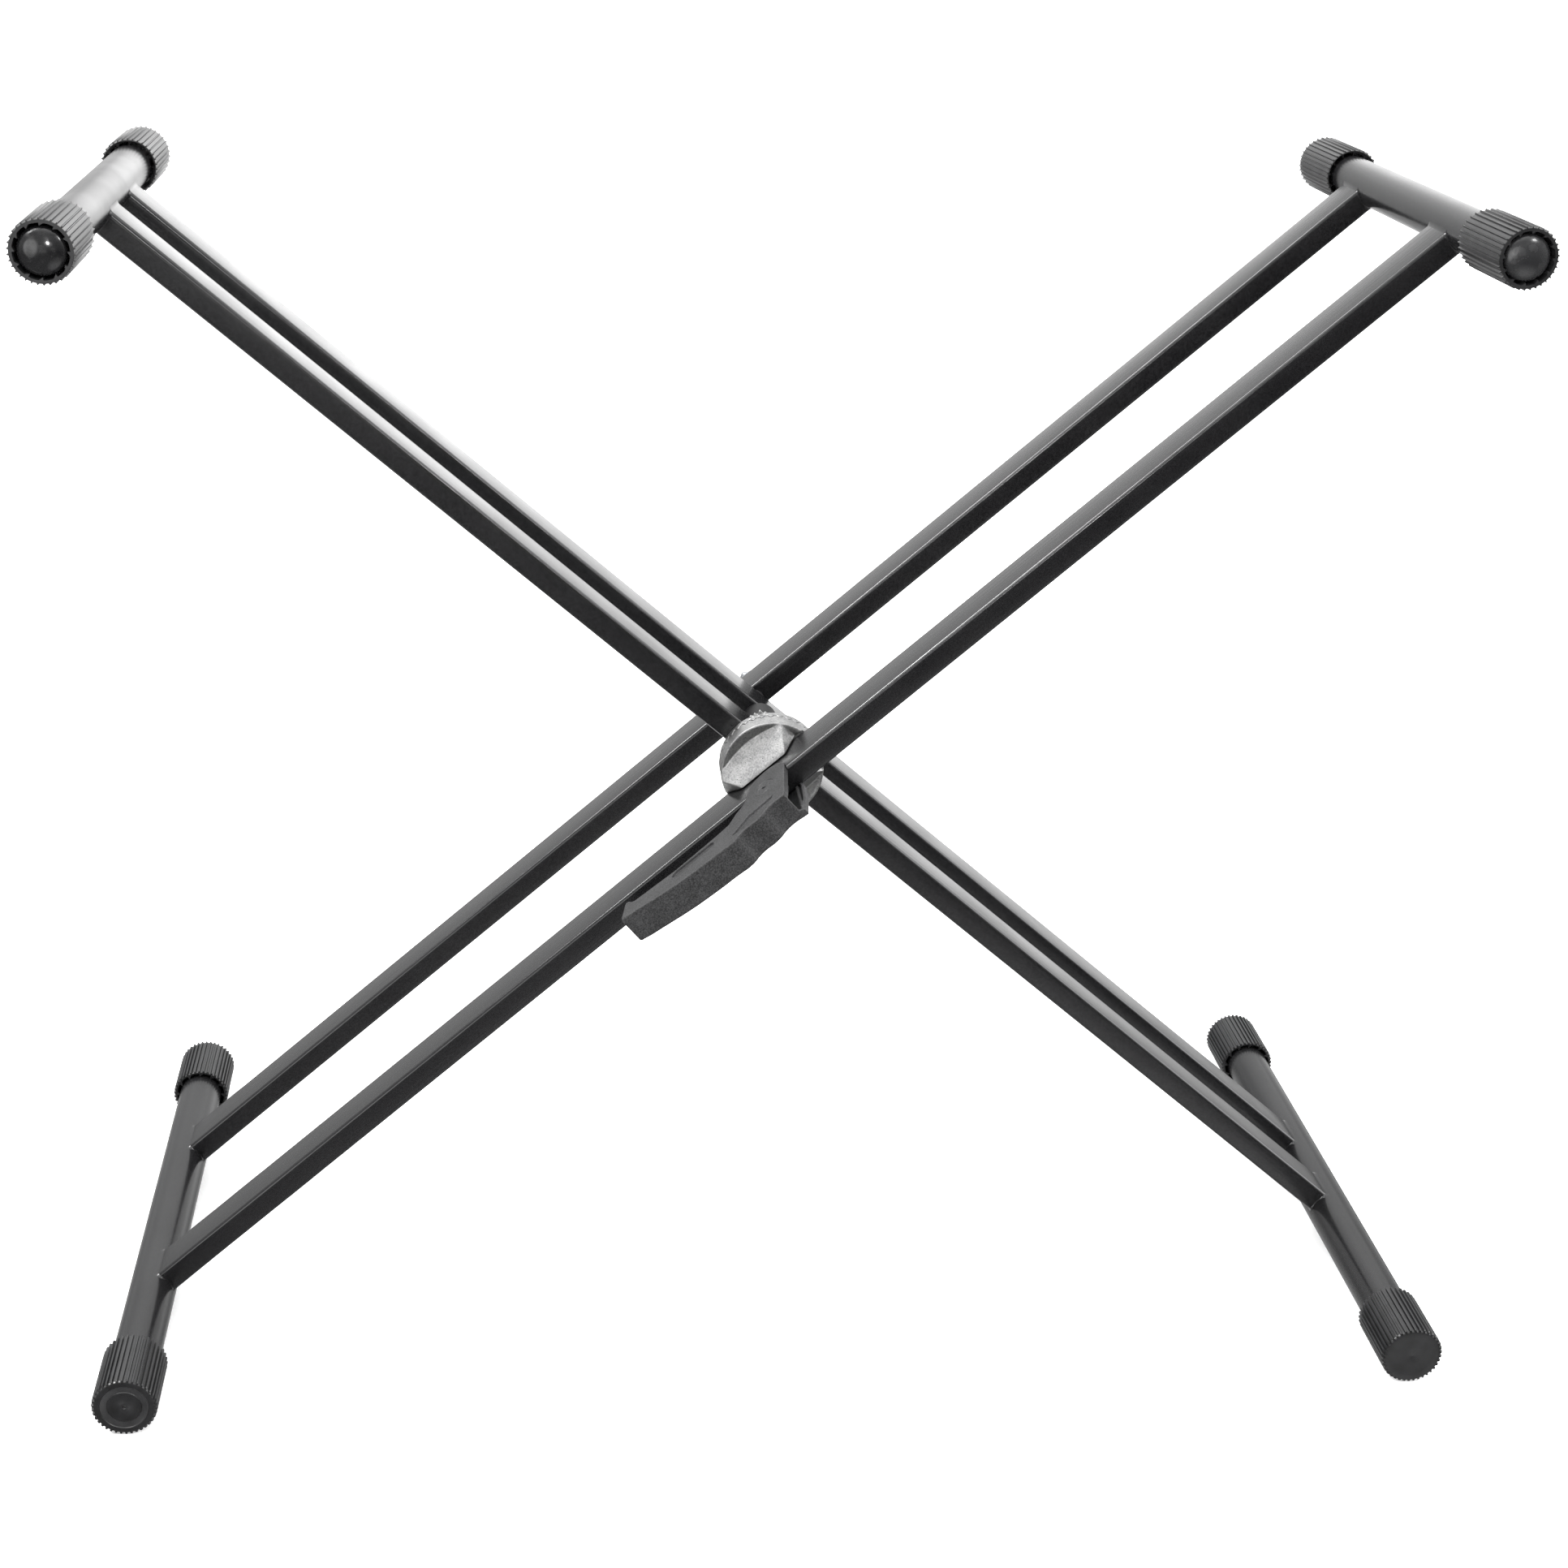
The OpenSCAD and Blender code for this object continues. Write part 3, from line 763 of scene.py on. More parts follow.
@dataclass
class SteelFrame:
    """One welded frame: two brace tubes between an arm bar and a foot bar."""

    side: Side
    layout: Layout
    finish: Finish
    tube_finish: Finish
    corner: float = 2.0
    corner_steps: int = 7
    stations: int = 41
    wall: float = 1.5
    arm_len: float = 338.0
    foot_len: float = 416.0
    edge: float = 0.5
    round_steps: int = 112
    weld_leg: float = 1.7
    weld_ripple: float = 0.08
    weld_pitch: float = 3.6
    weld_dish: float = 0.12
    weld_sink: float = 0.06
    weld_root: float = 0.8
    weld_steps: int = 8
    weld_sharp_deg: float = 80.0

    def build(self) -> None:
        """Makes the frame's tubes, bars and welds."""
        rows = self.layout.outer_y if self.side is Side.OUTER else self.layout.inner_y
        for end, y in zip(End, rows):
            self.brace_tube(end, y)
            for bar in Bar:
                self.weld(end, y, bar)
        for bar in Bar:
            self.round_bar(bar)

    def section(self, y: float, grow: float = 0.0) -> Array:
        """Outline of a brace tube at depth y, as y and n of each point."""
        size = self.layout.tube_depth + 2 * grow, self.layout.tube_height + 2 * grow
        return rounded_section(*size, self.corner + grow, self.corner_steps) + [y, 0]

    def cope(self, n: Array, bar: Bar) -> Array:
        """Where the tube meets a bar's round wall, as u at each height n."""
        fall = np.sqrt(self.layout.bar_radius(bar) ** 2 - n ** 2)
        return fall - self.layout.foot_reach if bar is Bar.FOOT else self.layout.arm_reach - fall

    def brace_tube(self, end: End, y: float) -> None:
        """Makes one brace tube, coped to the bars at both ends.

        Args:
            end: Which of the frame's two tubes.
            y: Depth of its middle.
        """
        outline = self.section(y)
        foot, arm = (self.cope(outline[:, 1], bar) for bar in (Bar.FOOT, Bar.ARM))
        share = np.linspace(0, 1, self.stations)[:, None]
        u = foot * (1 - share) + arm * share
        rings = np.stack([u, *np.broadcast_arrays(outline[:, 0], outline[:, 1] + 0 * u)], -1)
        node = f"{self.side.value}_{end.word}_tube"
        piece = Piece(node, "coated", self.tube_finish, self.side.body)
        piece.make(loft(self.layout.to_row(rings, self.side)))

    def weld(self, end: End, y: float, bar: Bar) -> None:
        """Makes the painted fillet weld round a tube's end, hollow between tube and bar.

        Args:
            end: Which of the frame's two tubes.
            y: Depth of its middle.
            bar: The bar that it is welded to.
        """
        outline = self.section(y)
        n = outline[:, 1]
        out = np.stack([0 * n, *(self.section(y, 1.0) - outline).T], -1)
        path = np.stack([self.cope(n, bar), *outline.T], -1)
        along = np.zeros_like(path)
        along[:, 0] = 1 if bar is Bar.FOOT else -1
        # The bar's wall falls away from the joint as it rises or drops
        slope = out[:, 2] * n / np.sqrt(self.layout.bar_radius(bar) ** 2 - n ** 2)
        skirt = out - along * slope[:, None]
        skirt /= np.linalg.norm(skirt, axis=1)[:, None]
        run = np.cumsum(np.linalg.norm(np.diff(path, axis=0, prepend=path[-1:]), axis=1))
        leg = (self.weld_leg + self.weld_ripple * np.sin(run * TURN / self.weld_pitch))[:, None]
        low = path + leg * along - self.weld_sink * out
        middle = path + self.weld_dish * (out + along)
        high = path + leg * skirt - self.weld_dish * along
        rings = [(1 - t) ** 2 * low + 2 * t * (1 - t) * middle + t * t * high
                 for t in np.linspace(0, 1, self.weld_steps)]
        rings.append(path - self.weld_root * out - self.weld_root * along)
        row = self.layout.to_row(np.swapaxes(np.array(rings), 0, 1), self.side)
        piece = Piece(f"{self.side.value}_{end.word}_{bar.value}", "weld", self.finish,
                      self.side.body, self.weld_sharp_deg, replaces=False)
        piece.make(loft(row, closed=True))

    def round_bar(self, bar: Bar) -> None:
        """Makes the arm bar or the foot bar, open at both ends.

        Args:
            bar: Which of the two.
        """
        is_foot = bar is Bar.FOOT
        radius = self.layout.bar_radius(bar)
        half = (self.foot_len if is_foot else self.arm_len) / 2
        middle = 0.0 if is_foot else self.layout.arm_shift
        rim, bore = radius - self.edge, radius - self.wall
        profile = [(r, middle + y) for r, y in (
            (rim, -half), (radius, self.edge - half), (radius, half - self.edge), (rim, half),
            (bore, half), (bore, -half))]
        axis = self.layout.bar_centre(self.side, bar)
        piece = Piece(f"{self.side.value}_{bar.value}_bar", "coated", self.finish, self.side.body)
        piece.make(loft(turned(profile, axis, *directions(self.round_steps)), closed=True))


# Rubber ends and plugs


@dataclass
class RibbedEnd:
    """What the sleeves and the caps share: straight moulded ribs round a bar."""

    bar: ClassVar[Bar]
    kind: ClassVar[str]
    side: Side
    end: End
    layout: Layout
    finish: Finish
    ribs: int
    base_r: float
    rib_h: float
    rib_root: float
    rib_tip: float
    in_r: float
    space: float
    rib_skirt: float = 1.25
    grips: int = 12
    grip_step_deg: float = 0.25
    grip_crest_deg: float = 1.5
    grip_foot_deg: float = 9.5
    grip_fill_deg: tuple[float, ...] = (15.0, 20.0, 25.0)
    clearance: float = 0.05
    sharp_deg: float = 25.0

    def angles(self) -> Array:
        """Finds where a ring has its points: at each edge of a rib or grip.

        Returns:
            Their directions in degrees from straight up.
        """
        pitch = 360 / self.ribs
        root, tip = (math.degrees(w / 2 / self.base_r) for w in (self.rib_root, self.rib_tip))
        skirt = root * self.rib_skirt
        rib = [-pitch / 2, -skirt, -root, -tip, tip, root, skirt]
        grip = [-self.grip_step_deg, self.grip_step_deg, self.grip_crest_deg, self.grip_foot_deg,
                *self.grip_fill_deg]
        marks = [i * pitch + a for i in range(self.ribs) for a in rib]
        marks += [i * 360 / self.grips + a for i in range(self.grips) for a in grip]
        return np.unique(np.round(np.array(marks) % 360, 3))

    def outer_ring(self, share: float) -> Array:
        """Radius of the ribbed outside at each direction.

        Args:
            share: How much of their height the ribs have here.

        Returns:
            The radii.
        """
        pitch = 360 / self.ribs
        off = np.radians(np.abs((self.angles() + pitch / 2) % pitch - pitch / 2)) * self.base_r
        rise = np.clip((self.rib_root / 2 - off) / (self.rib_root - self.rib_tip) * 2, 0, 1)
        return self.base_r + share * self.rib_h * rise

    def inner_ring(self) -> Array:
        """Shapes the inside, with its saw-shaped grip ribs.

        Returns:
            Its radius at each direction.
        """
        off = self.angles() % (360 / self.grips)
        fall = np.clip((self.grip_foot_deg - off) / (self.grip_foot_deg - self.grip_crest_deg), 0, 1)
        return self.in_r - fall * (self.space - self.clearance)

    def mould(self, profile: Profile, outer_y: float, closed: bool) -> bpy.types.Object:
        """Makes the piece.

        Args:
            profile: Radius of each ring, and its distance from the outer end.
            outer_y: Depth of the outer end.
            closed: True if the piece is open at both ends.

        Returns:
            The new object.
        """
        a = np.radians(self.angles())
        rows = [(np.broadcast_to(r, a.shape), outer_y - self.end.value * run) for r, run in profile]
        axis = self.layout.bar_centre(self.side, self.bar)
        node = f"{self.side.value}_{self.bar.value}_{self.end.word}_{self.kind}"
        piece = Piece(node, "ribbed", self.finish, self.side.body, self.sharp_deg)
        return piece.make(loft(turned(rows, axis, np.sin(a), np.cos(a)), closed))


@dataclass
class ArmSleeve(RibbedEnd):
    """A ribbed rubber sleeve, open at both ends, with pointed ribs."""

    bar: ClassVar[Bar] = Bar.ARM
    kind: ClassVar[str] = "sleeve"
    ribs: int = 34
    base_r: float = 16.0
    rib_h: float = 0.9
    rib_root: float = 1.1
    rib_tip: float = 0.35
    in_r: float = 14.1
    space: float = 1.4
    length: float = 61.0
    mouth_y: float = 181.0
    edge: float = 0.3
    edge_drop: float = 0.25
    edge_ribs: float = 0.9
    relief_r: float = 15.3
    relief: float = 3.0
    relief_slope: float = 0.5
    lip: float = 0.4
    lip_drop: float = 0.15

    def build(self) -> None:
        """Makes the sleeve."""
        full, inner = self.outer_ring(1.0), self.inner_ring()
        worn = self.outer_ring(self.edge_ribs) - self.edge_drop
        step = self.length - self.relief
        profile = [(worn, 0.0), (full, self.edge), (full, self.length / 2),
                   (full, self.length - self.edge), (worn, self.length),
                   # The inner end is wider, so a dark gap shows round the bar
                   (self.relief_r, self.length), (self.relief_r, step),
                   (inner, step - self.relief_slope), (inner, self.lip), (inner + self.lip_drop, 0.0)]
        self.mould(profile, self.layout.arm_shift + self.end.value * self.mouth_y, closed=True)


@dataclass
class FootCap(RibbedEnd):
    """A ribbed rubber foot cap, closed at its outer end."""

    bar: ClassVar[Bar] = Bar.FOOT
    kind: ClassVar[str] = "cap"
    ribs: int = 38
    base_r: float = 17.8
    rib_h: float = 1.2
    rib_root: float = 1.6
    rib_tip: float = 0.9
    in_r: float = 16.6
    space: float = 2.3
    length: float = 47.0
    end_t: float = 4.0
    bar_end: float = 208.0
    chamfer: float = 0.3
    chamfer_drop: float = 0.4
    chamfer_ribs: float = 0.85
    rib_from: tuple[float, float] = (0.9, 1.3)
    mouth_chamfer: float = 0.4
    mouth_drop: float = 0.25
    mouth_ribs: float = 0.8
    ring_finish: Finish | None = None
    ring_from: float = 10.2
    ring_to: float = 13.9

    def face(self) -> list[tuple[float, float]]:
        """Shapes the end face, from its middle outwards.

        Returns:
            Radius of each of its rings, and depth below the end's plane.
        """
        rim = [(15.2, 0.0), (16.4, 0.02), (17.1, 0.08)]
        if not self.ring_finish:
            # Plain, with a small gate mark in the middle
            return [(POLE_R, 0.3), (0.7, 0.3), (1.2, 0.2), (7.0, 0.14), (12.4, 0.08), (13.6, 0.0)] + rim
        # Dished, with a gate mark in the middle and a polished ring that slopes outwards
        a, b = self.ring_from, self.ring_to
        return [(POLE_R, 1.1), (0.6, 1.0), (0.95, 0.45), (1.4, 0.25), (2.9, 0.32), (3.4, 0.5),
                (a - 1.2, 0.5), (a - 0.3, 0.45), (a, 0.75), (b - 0.4, 0.5), (b, 0.4), (b + 0.35, 0.02)] + rim

    def build(self) -> None:
        """Makes the cap."""
        face, full, inner = self.face(), self.outer_ring(1.0), self.inner_ring()
        inside = self.end_t + self.clearance
        profile = face + [(self.outer_ring(self.chamfer_ribs) - self.chamfer_drop, self.chamfer)]
        profile += [(full, self.chamfer + run) for run in self.rib_from]
        profile += [
            (full, self.length / 2), (full, self.length - self.mouth_chamfer),
            (self.outer_ring(self.mouth_ribs) - self.mouth_drop, self.length),
            (inner, self.length), (inner, inside), (POLE_R, inside)]
        made = self.mould(profile, self.end.value * (self.bar_end + self.end_t), closed=False)
        # The polished ring takes the paler rubber, whose paler colour is painted sheen
        if self.ring_finish:
            made.data.materials.append(self.ring_finish.build())
            row = [r for r, _ in face].index(self.ring_from)
            count = len(self.angles())
            for polygon in made.data.polygons[row * count:(row + 2) * count]:
                polygon.material_index = 1


@dataclass
class BarPlug:
    """A domed plug in the end of an arm bar."""

    side: Side
    end: End
    layout: Layout
    finish: Finish
    seat_y: float = 169.0
    dome_r: float = 12.5
    dome_h: float = 4.3
    dome_steps: int = 30
    dome_short: tuple[float, float] = (0.05, 0.004)
    ledge: float = 0.1
    rim: float = 8.8
    rim_r: float = 12.65
    rim_bend: tuple[tuple[float, float], ...] = ((0.0, 0.3), (0.15, 0.08))
    rim_chamfer: float = 0.2
    stem_r: float = 11.15
    stem: float = 14.0
    stem_chamfer: float = 1.0
    clearance: float = 0.02
    steps: int = 96
    sharp_deg: float = 50.0

    def build(self) -> None:
        """Makes the plug."""
        profile = [(POLE_R, -self.stem), (self.stem_r - self.stem_chamfer, -self.stem),
                   (self.stem_r, self.stem_chamfer - self.stem), (self.stem_r, self.clearance),
                   (self.rim_r - self.rim_chamfer, self.clearance), (self.rim_r, self.rim_chamfer)]
        profile += [(self.rim_r - run, self.rim - drop) for run, drop in self.rim_bend]
        profile.append((self.dome_r + self.ledge, self.rim))
        # The dome starts just short of its widest and ends just short of its axis
        widest, axis_gap = self.dome_short
        profile += [(self.dome_r * math.sin(a), self.rim + self.dome_h * math.cos(a))
                    for a in np.linspace(TURN / 4 - widest, axis_gap, self.dome_steps)]
        seat = self.layout.arm_shift + self.end.value * self.seat_y
        rows = [(r, seat + self.end.value * h) for r, h in profile]
        axis = self.layout.bar_centre(self.side, Bar.ARM)
        node = f"{self.side.value}_arm_{self.end.word}_plug"
        piece = Piece(node, "domed", self.finish, self.side.body, self.sharp_deg)
        piece.make(loft(turned(rows, axis, *directions(self.steps))))


# Clutch


@dataclass
class ClutchDisc:
    """A die-cast clutch disc, with two lobes that hold a brace tube between them.

    Its own height t runs away from the plane where the two discs meet.
    """

    end: End
    layout: Layout
    finish: Finish
    radius: float = 31.0
    parting_y: float = -52.0
    lobe_wrap: float = 12.5
    lobe_root: float = 1.0
    lobe_fillet: float = 0.5
    lip_w: float = 1.4
    lip_half: float = 17.0
    lip_shift: float = 1.75
    lip_edge: float = 1.1
    facet_run: float = 12.0
    short_facet_run: float = 8.0
    panel_foot: float = 23.0
    pocket_depth: float = 2.5
    pocket_run: float = 5.5
    rim_w: float = 1.5
    rim_edge: float = 0.77
    seat_r: float = 26.0
    seat_margin: float = 1.0
    inner_recess: tuple[float, float] = (8.3, 3.3)
    outer_recess: tuple[float, float] = (7.3, 8.0)
    teeth: int = 36
    tooth_h: float = 1.35
    tooth_len: float = 9.0
    tooth_run_out: float = 1.5
    tooth_edge: float = 0.15
    tooth_bluntness: float = 0.7
    gap: float = 0.55
    edge: float = 0.55
    margin: float = 1.5
    headroom: float = 1.0
    cell: float = 0.4
    sharp_deg: float = 60.0
    flash_t: float = 4.0
    flash_half_t: float = 1.2
    flash_root: float = 3.0
    flash_peaks: tuple[tuple[float, float, float], ...] = (
        (26.5, 1.6, 1.4), (31.5, 2.0, 1.9), (37.5, 2.4, 3.0), (43.0, 1.5, 1.5))

    @property
    def front(self) -> bool:
        """True for the disc that the bolt pulls open."""
        return self.end is End.FRONT

    @property
    def rim_t(self) -> float:
        """Height of the rim."""
        return 12.5 if self.front else 6.0

    @property
    def floor_t(self) -> float:
        """Height of the seat under the tube."""
        return 9.5 if self.front else 6.0

    @property
    def bore_r(self) -> float:
        """Radius of the bolt's hole."""
        return 4.05 if self.front else 4.3

    @property
    def channel(self) -> float:
        """Half the width of the channel that holds the tube."""
        return self.layout.tube_height / 2 + (0.4 if self.front else 0.02)

    def wave(self, u: Array, n: Array, r: Array) -> Array:
        """Shapes the toothed face, which meshes with the other disc's at rest.

        Args:
            u: The points' first coordinate.
            n: Their second coordinate.
            r: Their distance from the axis.

        Returns:
            The face's height at each point.
        """
        turn = np.arctan2(n, u)
        if not self.front:
            turn = math.radians(180 - 2 * self.layout.rest_angle) - turn
        swing = np.cos(self.teeth * turn)
        wave = self.tooth_h * np.sign(swing) * np.abs(swing) ** self.tooth_bluntness
        reach = np.clip((r - self.radius + self.tooth_len) / self.tooth_run_out, 0, 1)
        return self.gap + (wave if self.front else -wave) * reach

    def flash(self, u: Array, n: Array, t: Array, r: Array) -> Array:
        """Shapes the ragged fins of metal that the casting die left on the rim.

        Args:
            u: The points' first coordinate.
            n: Their second coordinate.
            t: Their height.
            r: Their distance from the axis.

        Returns:
            The distances, negative inside.
        """
        turn = np.degrees(np.arctan2(n, u))
        peaks = sum(h * np.exp(-((turn - a) / w) ** 2) for a, w, h in self.flash_peaks)
        band = np.maximum(np.abs(t - self.flash_t) - self.flash_half_t, self.radius - self.flash_root - r)
        return np.maximum(r - self.radius - peaks, band)

    def lobes(self, u: Array, height: Array, t: Array, r: Array) -> Array:
        """Shapes the two lobes, each with a slanting panel and a facet at both ends of its lip.

        Args:
            u: The points' first coordinate.
            height: Their distance from the channel's middle plane.
            t: Their height.
            r: Their distance from the axis.

        Returns:
            The distances, negative inside.
        """
        top, base = self.rim_t + self.lobe_wrap, self.rim_t - self.pocket_depth
        run, rise = self.panel_foot - self.channel - self.lip_w, top - self.rim_t + self.pocket_depth
        panel = ((height - self.channel - self.lip_w) * rise + (t - top) * run) / math.hypot(run, rise)
        facet_run = np.where(u + self.lip_shift < 0, self.facet_run, self.short_facet_run)
        facet = (np.abs(u + self.lip_shift) - self.lip_half) * self.lobe_wrap
        facet = (facet + (t - top) * facet_run) / np.hypot(facet_run, self.lobe_wrap)
        lobe = shared(shared(panel, facet, self.edge), t - top, self.lip_edge)
        return np.maximum(shared(lobe, r - self.radius, self.edge), base - self.lobe_root - t)

    def solid(self, u: Array, n: Array, t: Array) -> Array:
        """Shapes the disc.

        Args:
            u: The points' first coordinate.
            n: Their second coordinate.
            t: Their height.

        Returns:
            The distances, negative inside.
        """
        r, height, rim = np.hypot(u, n), np.abs(n), self.rim_t
        body = shared(r - self.radius, t - rim, self.rim_edge)
        slope = math.hypot(1, self.pocket_run / self.pocket_depth)
        cone = (r - self.radius + self.rim_w + (rim - t) * self.pocket_run / self.pocket_depth) / slope
        body = cut(body, np.maximum(cone, rim - self.pocket_depth - t), self.edge)
        body = joined(body, self.lobes(u, height, t, r), self.lobe_fillet)
        seat = np.maximum(r - self.seat_r, height - self.channel - self.seat_margin)
        body = np.minimum(body, np.maximum(seat, t - self.floor_t))
        body = cut(body, np.maximum(height - self.channel, self.floor_t - t), self.edge)
        body = cut(body, t - self.wave(u, n, r), self.tooth_edge)
        if not self.front:
            return np.maximum(np.minimum(body, self.flash(u, n, t, r)), self.bore_r - r)
        inner = np.maximum(r - self.inner_recess[0], t - self.inner_recess[1])
        outer = np.maximum(r - self.outer_recess[0], self.outer_recess[1] - t)
        return np.maximum(np.maximum(body, self.bore_r - r), -np.minimum(inner, outer))

    def build(self) -> None:
        """Makes the disc."""
        reach = self.radius + self.margin
        high = self.rim_t + self.lobe_wrap + self.headroom
        shell = surface_net(self.solid, (-reach, -reach, -self.margin), (reach, reach, high), self.cell)
        u, n, t = shell.points.T
        side = Side.OUTER if self.front else Side.INNER
        y = self.parting_y + self.end.value * t
        shell.points = self.layout.to_row(np.stack([u, y, n], -1), side)
        node, body = f"{self.end.word}_clutch_disc", "clutch_slider" if self.front else side.body
        Piece(node, "cast", self.finish, body, self.sharp_deg).make(shell)


@dataclass
class ReleaseLever:
    """The moulded squeeze lever. Its own distance d runs forwards from the tube's front face."""

    layout: Layout
    finish: Finish
    length: float = 116.0
    pin_ahead: float = 8.5
    ear_r: float = 21.0
    slant: float = 0.12
    slant_at: tuple[float, float] = (13.3, -4.0)
    flange_in: float = 7.8
    flange_t: float = 1.6
    front_wall: float = 2.0
    grip: float = 23.0
    front: float = 46.0
    edge: float = 0.6
    inner_edge: float = 0.25
    fine_edge: float = 0.1
    hollow_round: float = 0.8
    tip_edge: float = 1.3
    tip_from: float = 7.0
    tip_run: float = 4.0
    tip_wall: float = 2.2
    nose: tuple[float, float, float] = (-13.5, 2.3, 2.0)
    lip_t: float = 1.7
    lip_h: float = 4.2
    lip_from: tuple[float, float] = (6.0, 0.8)
    rib_u: tuple[float, float] = (9.3, 11.3)
    rib_d: tuple[float, float] = (3.5, 38.5)
    rib_n: tuple[float, float] = (-8.9, -4.6)
    rib_edge: float = 0.3
    sunk: float = 1.1
    slot_u: tuple[float, float] = (-72.4, -47.6)
    slot_d: float = 28.2
    slot_r: float = 3.5
    slot_edge: float = 0.2
    socket_r: float = 2.08
    socket_depth: float = 1.0
    notch_at: tuple[float, float, float] = (8.3, 34.5, -4.0)
    notch_slope: float = 0.3
    notch_cos: float = 0.96
    mark_at: tuple[float, float] = (-3.8, 8.0)
    mark_depth: float = 0.5
    inner_ring: tuple[float, float] = (3.9, 0.4)
    outer_ring: tuple[float, float] = (6.9, 0.45)
    slit_aim: tuple[float, float] = (0.8, 0.6)
    slit_half: tuple[float, float] = (1.6, 0.65)
    slit_depth: float = 1.3
    cell: float = 0.48
    sharp_deg: float = 60.0

    @property
    def half(self) -> float:
        """Half the lever's width."""
        return self.flange_in + self.flange_t

    def outline(self) -> list[tuple[float, float]]:
        """Draws the lever as seen from above.

        Returns:
            Its corners, as u and d.
        """
        tip, g = -self.length, self.grip
        ear = [(self.ear_r * math.cos(math.radians(a)),
                self.pin_ahead + self.ear_r * math.sin(math.radians(a))) for a in range(-65, -126, -5)]
        grip = [(-19.5, g - 14), (-25.5, g - 10), (-32, g - 3), (-43, g - 1.5), (-73, g),
                (tip + 11.5, g - 3.5), (tip + 9.5, g - 5), (tip + 7.5, g - 8.5), (tip + 5.5, g - 10),
                (tip + 3.5, g - 8), (tip, g + 5)]
        return ear + grip + self.front_edge() + [(13.8, 22), (14.6, 5), (13, -5)]

    def front_edge(self) -> list[tuple[float, float]]:
        """Draws the stepped front wall, with its steps softened.

        Returns:
            Its corners, as u and d.
        """
        tip, f = -self.length, self.front
        edge = np.array([
            (tip + 0.3, f - 14.8), (tip + 15.5, f - 10.6), (-76, f - 3), (-52, f), (-43.5, f),
            (-31.5, f + 2.5), (-23.5, f - 4), (-11.5, f - 2), (-2, f - 9.5), (11.5, f - 6)])
        for _ in range(2):
            # Each corner is cut to soften the steps
            middle = np.stack([edge[:-1] * 0.75 + edge[1:] * 0.25,
                               edge[:-1] * 0.25 + edge[1:] * 0.75], 1).reshape(-1, 2)
            edge = np.vstack([edge[:1], middle[1:-1], edge[-1:]])
        return [(float(u), float(d)) for u, d in edge]

    def hollow(self) -> list[tuple[float, float]]:
        """Draws the space between the flanges.

        Returns:
            Its corners, as u and d.
        """
        inner = -self.length + 5.5 + self.tip_wall
        wall = [(max(u, -self.length + self.tip_wall), d - self.front_wall)
                for u, d in self.front_edge()]
        return [(inner, -self.ear_r), (inner, self.grip - 8)] + wall + [
            (30, self.front - 6 - self.front_wall), (30, -self.ear_r)]

    def solid(self, u: Array, d: Array, n: Array) -> Array:
        """Shapes the lever.

        Args:
            u: The points' first coordinate.
            d: Their second coordinate.
            n: Their height over the lever's middle plane.

        Returns:
            The distances, negative inside.
        """
        height = np.abs(n)
        plan = outline_distance(u, d, self.outline())
        # The upper ear ends on a slant
        slant = u - self.slant_at[0] + self.slant * (d - self.slant_at[1])
        plan = np.maximum(plan, np.where(n > 0, slant, -self.half))
        # The tip's corners are rounder than the rest
        edge = self.edge + self.tip_edge * np.clip((self.tip_from - self.length - u) / self.tip_run, 0, 1)
        body = shared(plan, height - self.half, edge)
        hollow = outline_distance(u, d, self.hollow())
        hollow = shared(hollow, height - self.flange_in, self.hollow_round)
        body = cut(body, hollow, self.inner_edge)
        nose = np.hypot(u - self.nose[0], d - self.nose[1]) - self.nose[2]
        body = np.minimum(body, np.maximum(nose, height - self.flange_in - self.flange_t / 2))
        body = np.minimum(body, np.minimum(self.lip(plan, u, d, height), self.rib(u, d, n)))
        floor = self.half - self.sunk - height
        recess = outline_distance(u, d, self.recess())
        body = cut(body, np.maximum(recess, floor), self.inner_edge)
        body = cut(body, np.maximum(self.slot(u, d), floor), self.slot_edge)
        socket = np.hypot(u, d - self.pin_ahead) - self.socket_r
        body = np.maximum(body, -np.maximum(socket, height - self.flange_in - self.socket_depth))
        body = cut(body, self.notch(u, d, n), self.edge)
        return cut(body, self.mould_mark(u, d, n), self.fine_edge)

    def lip(self, plan: Array, u: Array, d: Array, height: Array) -> Array:
        """Shapes the thick lip that each flange ends in at the root.

        Args:
            plan: Distance to the lever's outline.
            u: The points' first coordinate.
            d: Their second coordinate.
            height: Their distance from the lever's middle plane.

        Returns:
            The distances, negative inside.
        """
        lip = np.maximum(np.maximum(plan, -self.lip_t - plan),
                         np.maximum(self.lip_from[0] - u, self.lip_from[1] - d))
        return shared(lip, np.maximum(self.half - self.lip_h - height, height - self.half), self.edge)

    def rib(self, u: Array, d: Array, n: Array) -> Array:
        """Shapes the rib that stands inside the lower lip.

        Args:
            u: The points' first coordinate.
            d: Their second coordinate.
            n: Their height over the lever's middle plane.

        Returns:
            The distances, negative inside.
        """
        sides = [np.maximum(low - x, x - high)
                 for x, (low, high) in ((u, self.rib_u), (d, self.rib_d), (n, self.rib_n))]
        return shared(np.maximum(sides[0], sides[1]), sides[2], self.rib_edge)

    def recess(self) -> list[tuple[float, float]]:
        """Corners of the leaf-shaped recess that joins each flange to the front wall."""
        return [(1, 26.9), (-18.3, 29), (-31.5, 37.2), (-23.5, 40.5), (-11.8, 42), (-4.5, 36.7)]

    def slot(self, u: Array, d: Array) -> Array:
        """Distances to the round-ended slot in each flange."""
        return np.hypot(u - np.clip(u, *self.slot_u), d - self.slot_d) - self.slot_r

